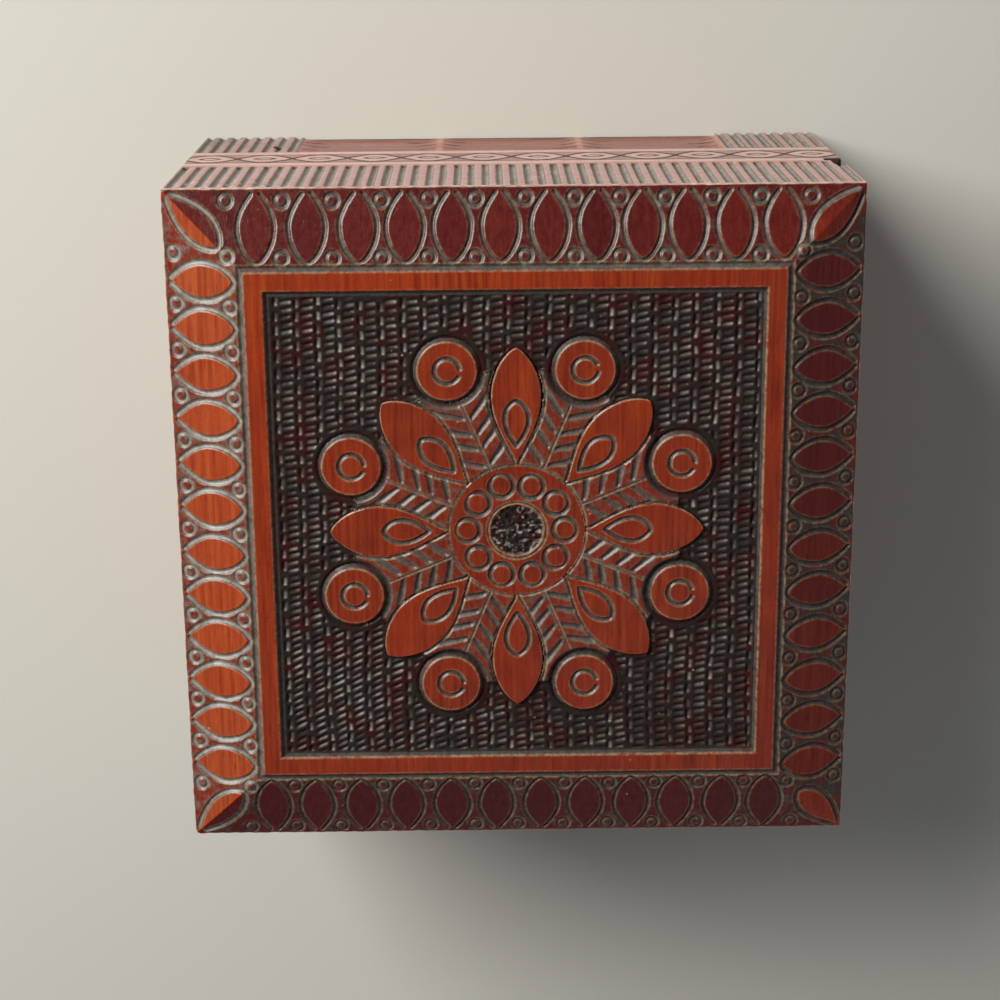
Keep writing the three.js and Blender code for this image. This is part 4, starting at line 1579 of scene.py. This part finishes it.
def base_wall_front(side, heights):
    """Face of a base wall over the given heights"""
    half = HALF / MM
    top = heights[-1]

    def in_corner(s):
        return np.abs(s) > half - CORNER_WIDTH

    def front(u, v):
        s = u * half
        z = row_place(v, heights)
        low = z < BAND_FOOT
        corner = in_corner(s)
        chain, chain_matte, chain_tone = chain_cuts(s, z)
        flutes = flute_cut(s, z, None, FIELD_TOP, side + 4, in_corner)[0]
        panel, panel_matte, panel_tone = panel_cuts(s, z)
        cut = Cut(s)
        cut.join(chain, ~low)
        cut.join(flutes, low & corner)
        cut.join(panel, low & ~corner)
        matte = np.where(low, np.where(corner, 0.45 + 0.3 * flutes.dark, panel_matte), chain_matte)
        tone = np.where(low, np.where(corner, 0.6, panel_tone), chain_tone)
        if SIDES[side] == "left":
            matte = np.maximum(matte, hole_and_stain(cut, s, z))
        notch, painted_chip_shade = base_notch(s, z, top, side)
        rounded = edge_round(z, 0.3) + edge_round(top - z, 0.15)
        depth = np.clip(cut.depth + notch + rounded + 0.02 * noise(s, z, 2.0, side + 11.0), 0, None)
        x, y = turned(*soft_corner(s * (half - notch) / half, half - depth, side), side)
        values = {
            "dark": np.maximum(cut.dark, painted_chip_shade),
            "edge": cut.edge * 0.6,
            "tone": tone,
            "matte": np.maximum(matte, painted_chip_shade),
            "dust_and_highlight": cut.dust_and_highlight,
        }
        return np.stack([x, y, z], 1), values

    return front


class JEWELRYBOX_OT_base_walls(bpy.types.Operator):
    """Carves the four walls of the base, with chain band, fluted corners and scooped panels"""

    bl_idname = "jewelrybox.base_walls"
    bl_label = "Base Walls"

    def execute(self, context):
        top = BASE_HEIGHT / MM
        heights = np.concatenate(
            [
                [0, 0.05, 0.12, 0.2],
                np.arange(0.4, BAND_FOOT, 0.29),
                np.linspace(BAND_FOOT + 0.2, 26.7, 4),
                np.arange(26.9, 38.2, 0.24),
                [top - 3.6, top - 2.9, top - 2.5, top - 2.3, top - 1.9, top - 1.4],
                [top - 0.2, top - 0.1, top],
            ]
        )
        for side, name in enumerate(SIDES):
            wall = carved_wall(f"base_wall_{name}_carved", side, heights, base_wall_front(side, heights))
            dress(wall, "base", f"base_wall_{name}")
        return {"FINISHED"}


# Hinges, in millimetres

HINGE_HALF = 10
LEAF_THICK = 0.7
KNUCKLE = 19.4 / 3
KNUCKLE_RADIUS = 1.6
PIN_RADIUS = 0.6
CLEARANCE = 0.3
SCREW_ROW = 61
SCREW_BESIDE = 6
OUTER_KNUCKLES = ((-HINGE_HALF, -HINGE_HALF + KNUCKLE), (HINGE_HALF - KNUCKLE, HINGE_HALF))
MIDDLE_KNUCKLE = ((-KNUCKLE / 2, KNUCKLE / 2),)


def combine(piece, tool, operation):
    """Joins a tool to a piece or cuts it away, and removes the tool"""
    pick(piece)
    bpy.ops.object.modifier_add(type="BOOLEAN")
    modifier = piece.modifiers[-1]
    modifier.operation = operation
    modifier.object = tool
    bpy.ops.object.modifier_apply(modifier=modifier.name)
    bpy.data.objects.remove(tool, do_unlink=True)


def block(low, high):
    """Plain bar between two corners"""
    return bar_between(Vector(low) * MM, Vector(high) * MM)


def barrel(radius, x_low, x_high, y, z, sides=48):
    """Round bar along X"""
    deselect()
    bpy.ops.mesh.primitive_cylinder_add(
        vertices=sides,
        radius=radius * MM,
        depth=(x_high - x_low) * MM,
        location=Vector(((x_low + x_high) / 2, y, z)) * MM,
        rotation=(0, math.pi / 2, 0),
    )
    bar = bpy.context.object
    settle(bar)
    return bar


def countersunk(x, face, sign, head, shank, reach):
    """Screw shape with its head's face at one level and its tip on the other side"""
    deselect()
    bpy.ops.mesh.primitive_cone_add(
        vertices=32,
        radius1=shank * MM if sign > 0 else head * MM,
        radius2=head * MM if sign > 0 else shank * MM,
        depth=(head - shank) * MM,
        location=Vector((x, SCREW_ROW, face - sign * (head - shank) / 2)) * MM,
    )
    screw = bpy.context.object
    deselect()
    bpy.ops.mesh.primitive_cylinder_add(
        vertices=32,
        radius=shank * MM,
        depth=reach * MM,
        location=Vector((x, SCREW_ROW, face - sign * (reach / 2 + 0.2))) * MM,
    )
    body = bpy.context.object
    settle(screw)
    settle(body)
    combine(screw, body, "UNION")
    return screw


def finish_brass(piece, name, body, node):
    """Names a brass piece and gives it its finish"""
    piece.name = name
    piece.data.name = name
    piece.data.materials.clear()
    piece.data.materials.append(brass_metal())
    pick(piece)
    bpy.ops.object.shade_smooth_by_angle(angle=math.radians(35))
    dress(piece, body, node)


class JEWELRYBOX_OT_hinges(bpy.types.Operator):
    """Makes the two butt hinges with their pins and screws, and lets them into the back walls"""

    bl_idname = "jewelrybox.hinges"
    bl_label = "Hinges"

    def execute(self, context):
        for hand in ("left", "right"):
            node = f"hinge_{hand}_pin"
            low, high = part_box(node)
            middle, axis_y, axis_z = ((a + b) / 2 / MM for a, b in zip(low, high))
            self.half_hinge(hand, "base", BASE_HEIGHT / MM, 1, (middle, axis_y, axis_z))
            self.half_hinge(hand, "lid", LID_BOTTOM / MM, -1, (middle, axis_y, axis_z))
            pin = barrel(PIN_RADIUS, middle - HINGE_HALF, middle + HINGE_HALF, axis_y, axis_z, 32)
            finish_brass(pin, node + "_turned", "base", node)
        return {"FINISHED"}

    def half_hinge(self, hand, part, face, sign, centre):
        """One leaf with its screws, let into its wall"""
        node = f"hinge_{hand}_{part}_leaf"
        inner_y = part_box(node)[0][1] / MM
        knuckles = (OUTER_KNUCKLES, MIDDLE_KNUCKLE) if part == "base" else (MIDDLE_KNUCKLE, OUTER_KNUCKLES)
        leaf = self.leaf(face, sign, inner_y, centre, *knuckles)
        for number in (1, 2):
            x = centre[0] + (2 * number - 3) * SCREW_BESIDE
            self.screw(leaf, f"hinge_{hand}_{part}_screw_{number}", part, number, x, face, sign)
        finish_brass(leaf, node + "_rolled", part, node)
        self.seat(bpy.data.objects[f"{part}_wall_back_carved"], face, sign, inner_y, centre[0])

    def leaf(self, face, sign, inner_y, centre, own, other):
        """Plate with its own knuckles rolled on and room for the other leaf's"""
        middle, axis_y, axis_z = centre
        low = min(face, face - sign * LEAF_THICK)
        leaf = block((middle - HINGE_HALF, inner_y, low), (middle + HINGE_HALF, axis_y, low + LEAF_THICK))
        for a, b in other:
            room = (middle + a - CLEARANCE, middle + b + CLEARANCE)
            combine(leaf, barrel(KNUCKLE_RADIUS + CLEARANCE, *room, axis_y, axis_z), "DIFFERENCE")
        for a, b in own:
            combine(leaf, barrel(KNUCKLE_RADIUS, middle + a, middle + b, axis_y, axis_z), "UNION")
        bore = barrel(PIN_RADIUS + 0.08, middle - HINGE_HALF - 1, middle + HINGE_HALF + 1, axis_y, axis_z, 32)
        combine(leaf, bore, "DIFFERENCE")
        return leaf

    def screw(self, leaf, node, part, number, x, face, sign):
        """One slotted screw, and its hole in the leaf"""
        combine(leaf, countersunk(x, face + sign * 0.05, sign, 1.38, 0.72, 3), "DIFFERENCE")
        screw = countersunk(x, face - sign * 0.03, sign, 1.22, 0.6, 5.7)
        slot = block((-1.5, -0.17, -0.34), (1.5, 0.17, 0.34))
        slot.rotation_euler.z = 0.3 + 1.1 * (number - 1)
        slot.location = Vector((x, SCREW_ROW, face)) * MM
        settle(slot)
        combine(screw, slot, "DIFFERENCE")
        finish_brass(screw, node + "_slotted", part, node)

    def seat(self, wall, face, sign, inner_y, middle):
        """Cuts a leaf's seat into a wall's rim, and gives the cut the rim's tone"""
        floor = face - sign * LEAF_THICK
        far = face + sign * 3
        low = (middle - HINGE_HALF - CLEARANCE, inner_y - CLEARANCE, min(floor, far))
        high = (middle + HINGE_HALF + CLEARANCE, 70, max(floor, far))
        combine(wall, block(low, high), "DIFFERENCE")
        tone = read_values(wall.data, "tone")
        write_values(wall.data, "tone", np.where(tone == 0, RIM_TONE, tone))
        bpy.ops.object.shade_smooth_by_angle(angle=math.radians(75))


# Stage

# The camera, with its place in millimetres, and the lamps
CAMERA_LENS = 76.58
CAMERA_PLACE = (-125.4, -6.23, 459.8)
CAMERA_RIGHT = (0.00806, 0.99991, 0.01044)
CAMERA_UP = (-0.95513, 0.01079, -0.296)
LAMP_AIM = (0, 0, 0.05)
KEY_COLOUR = (1.0, 0.97, 0.92)
FILL_COLOUR = (0.92, 0.95, 1.0)
SKY_LOW = (0.5, 0.5, 0.52)
SKY_HIGH = (0.08, 0.08, 0.088)


def floor_paint():
    """Pale floor that turns into the backdrop far from the box, and shines a little in the glossy wood"""
    material, tree, shader = plain_material("Stage Floor")
    shader.inputs["Roughness"].default_value = 0.9
    shader.inputs["Specular IOR Level"].default_value = 0.1
    path = tree.nodes.new("ShaderNodeLightPath")
    distance = tree.nodes.new("ShaderNodeVectorMath")
    distance.operation = "LENGTH"
    tree.links.new(object_vector(tree), distance.inputs[0])
    distant = map_range(tree, distance.outputs["Value"], 0.3, 0.9)
    far = math_node(tree, "MULTIPLY", distant, path.outputs["Is Camera Ray"])
    tree.links.new(mix_colour(tree, far, colours().backdrop, (0, 0, 0)), shader.inputs["Base Color"])
    glow = mix_colour(tree, path.outputs["Is Camera Ray"], KEY_COLOUR, colours().backdrop)
    tree.links.new(glow, shader.inputs["Emission Color"])
    strength = math_node(tree, "MULTIPLY", path.outputs["Is Glossy Ray"], 0.42)
    tree.links.new(math_node(tree, "ADD", strength, far), shader.inputs["Emission Strength"])
    return material


class JEWELRYBOX_OT_stage(bpy.types.Operator):
    """Sets the floor, the lamps, the world and the camera"""

    bl_idname = "jewelrybox.stage"
    bl_label = "Stage"

    def execute(self, context):
        self.floor()
        self.sky(context)
        self.lamp("key_lamp", (-0.52, -0.62, 0.52), 0.6, 14.0, KEY_COLOUR)
        self.lamp("fill_lamp", (0.7, 0.5, 0.6), 1.6, 1.2, FILL_COLOUR)
        self.camera(context)
        context.scene.view_settings.view_transform = "Standard"
        return {"FINISHED"}

    def floor(self):
        """Floor just below the box's underside"""
        deselect()
        bpy.ops.mesh.primitive_plane_add(size=6, location=(0, 0, -0.1 * MM))
        floor = bpy.context.object
        floor.name = "stage_floor"
        floor.data.materials.append(floor_paint())

    def sky(self, context):
        """Soft light from all round, and the plain backdrop for the camera"""
        world = bpy.data.worlds.new("Studio")
        context.scene.world = world
        world.use_nodes = True
        tree = world.node_tree
        background = tree.nodes["Background"]
        coordinate = tree.nodes.new("ShaderNodeTexCoord")
        parts = tree.nodes.new("ShaderNodeSeparateXYZ")
        tree.links.new(coordinate.outputs["Generated"], parts.inputs[0])
        ramp = tree.nodes.new("ShaderNodeValToRGB")
        ramp.color_ramp.elements[0].position = 0.05
        ramp.color_ramp.elements[0].color = (*SKY_LOW, 1)
        ramp.color_ramp.elements[1].position = 0.5
        ramp.color_ramp.elements[1].color = (*SKY_HIGH, 1)
        tree.links.new(parts.outputs["Z"], ramp.inputs[0])
        path = tree.nodes.new("ShaderNodeLightPath")
        seen = mix_colour(tree, path.outputs["Is Camera Ray"], ramp.outputs[0], colours().backdrop)
        tree.links.new(seen, background.inputs["Color"])
        background.inputs["Strength"].default_value = 1.0

    def lamp(self, name, place, size, power, tint):
        """Square lamp that is aimed at the box"""
        data = bpy.data.lights.new(name, "AREA")
        data.shape = "SQUARE"
        data.size = size
        data.energy = power
        data.color = tint
        lamp = bpy.data.objects.new(name, data)
        bpy.context.scene.collection.objects.link(lamp)
        lamp.location = place
        aim = Vector(LAMP_AIM) - Vector(place)
        lamp.rotation_euler = aim.to_track_quat("-Z", "Y").to_euler()

    def camera(self, context):
        """Camera at the viewpoint that fits the box's corners"""
        data = bpy.data.cameras.new("Camera")
        data.sensor_width = 36
        data.lens = CAMERA_LENS
        data.clip_start = 0.01
        camera = bpy.data.objects.new("Camera", data)
        context.scene.collection.objects.link(camera)
        right = Vector(CAMERA_RIGHT)
        up = Vector(CAMERA_UP)
        turn = Matrix((right, up, right.cross(up))).transposed()
        camera.matrix_world = Matrix.Translation(Vector(CAMERA_PLACE) * MM) @ turn.to_4x4()
        context.scene.camera = camera


class JEWELRYBOX_PT_panel(bpy.types.Panel):
    """Lists the pieces of the box in the sidebar"""

    bl_label = "Jewelry Box"
    bl_idname = "JEWELRYBOX_PT_panel"
    bl_space_type = "VIEW_3D"
    bl_region_type = "UI"
    bl_category = "Jewelry Box"

    def draw(self, context):
        """Lists the sizes, the colours and a button for each piece"""
        layout = self.layout
        for group in (context.scene.box_sizes, context.scene.box_colours):
            for label in group.bl_rna.properties.keys():
                if label not in ("rna_type", "name"):
                    layout.prop(group, label)
        for operator in PIECES:
            layout.operator(operator.bl_idname)


PIECES = (
    JEWELRYBOX_OT_stage,
    JEWELRYBOX_OT_border,
    JEWELRYBOX_OT_frame,
    JEWELRYBOX_OT_ground,
    JEWELRYBOX_OT_petals,
    JEWELRYBOX_OT_bosses,
    JEWELRYBOX_OT_hub,
    JEWELRYBOX_OT_boards,
    JEWELRYBOX_OT_lid_walls,
    JEWELRYBOX_OT_base_walls,
    JEWELRYBOX_OT_hinges,
)
CLASSES = (BoxSizes, BoxColours, *PIECES, JEWELRYBOX_PT_panel)


def register():
    """Adds the classes and the settings"""
    for item in CLASSES:
        bpy.utils.register_class(item)
    bpy.types.Scene.box_sizes = bpy.props.PointerProperty(type=BoxSizes)
    bpy.types.Scene.box_colours = bpy.props.PointerProperty(type=BoxColours)


def unregister():
    """Removes the settings and the classes"""
    del bpy.types.Scene.box_colours
    del bpy.types.Scene.box_sizes
    for item in reversed(CLASSES):
        bpy.utils.unregister_class(item)


def main():
    """Makes every piece"""
    register()
    bpy.ops.jewelrybox.stage()
    bpy.ops.jewelrybox.border()
    bpy.ops.jewelrybox.frame()
    bpy.ops.jewelrybox.ground()
    bpy.ops.jewelrybox.petals()
    bpy.ops.jewelrybox.bosses()
    bpy.ops.jewelrybox.hub()
    bpy.ops.jewelrybox.boards()
    bpy.ops.jewelrybox.lid_walls()
    bpy.ops.jewelrybox.base_walls()
    bpy.ops.jewelrybox.hinges()


if __name__ == "__main__":
    main()
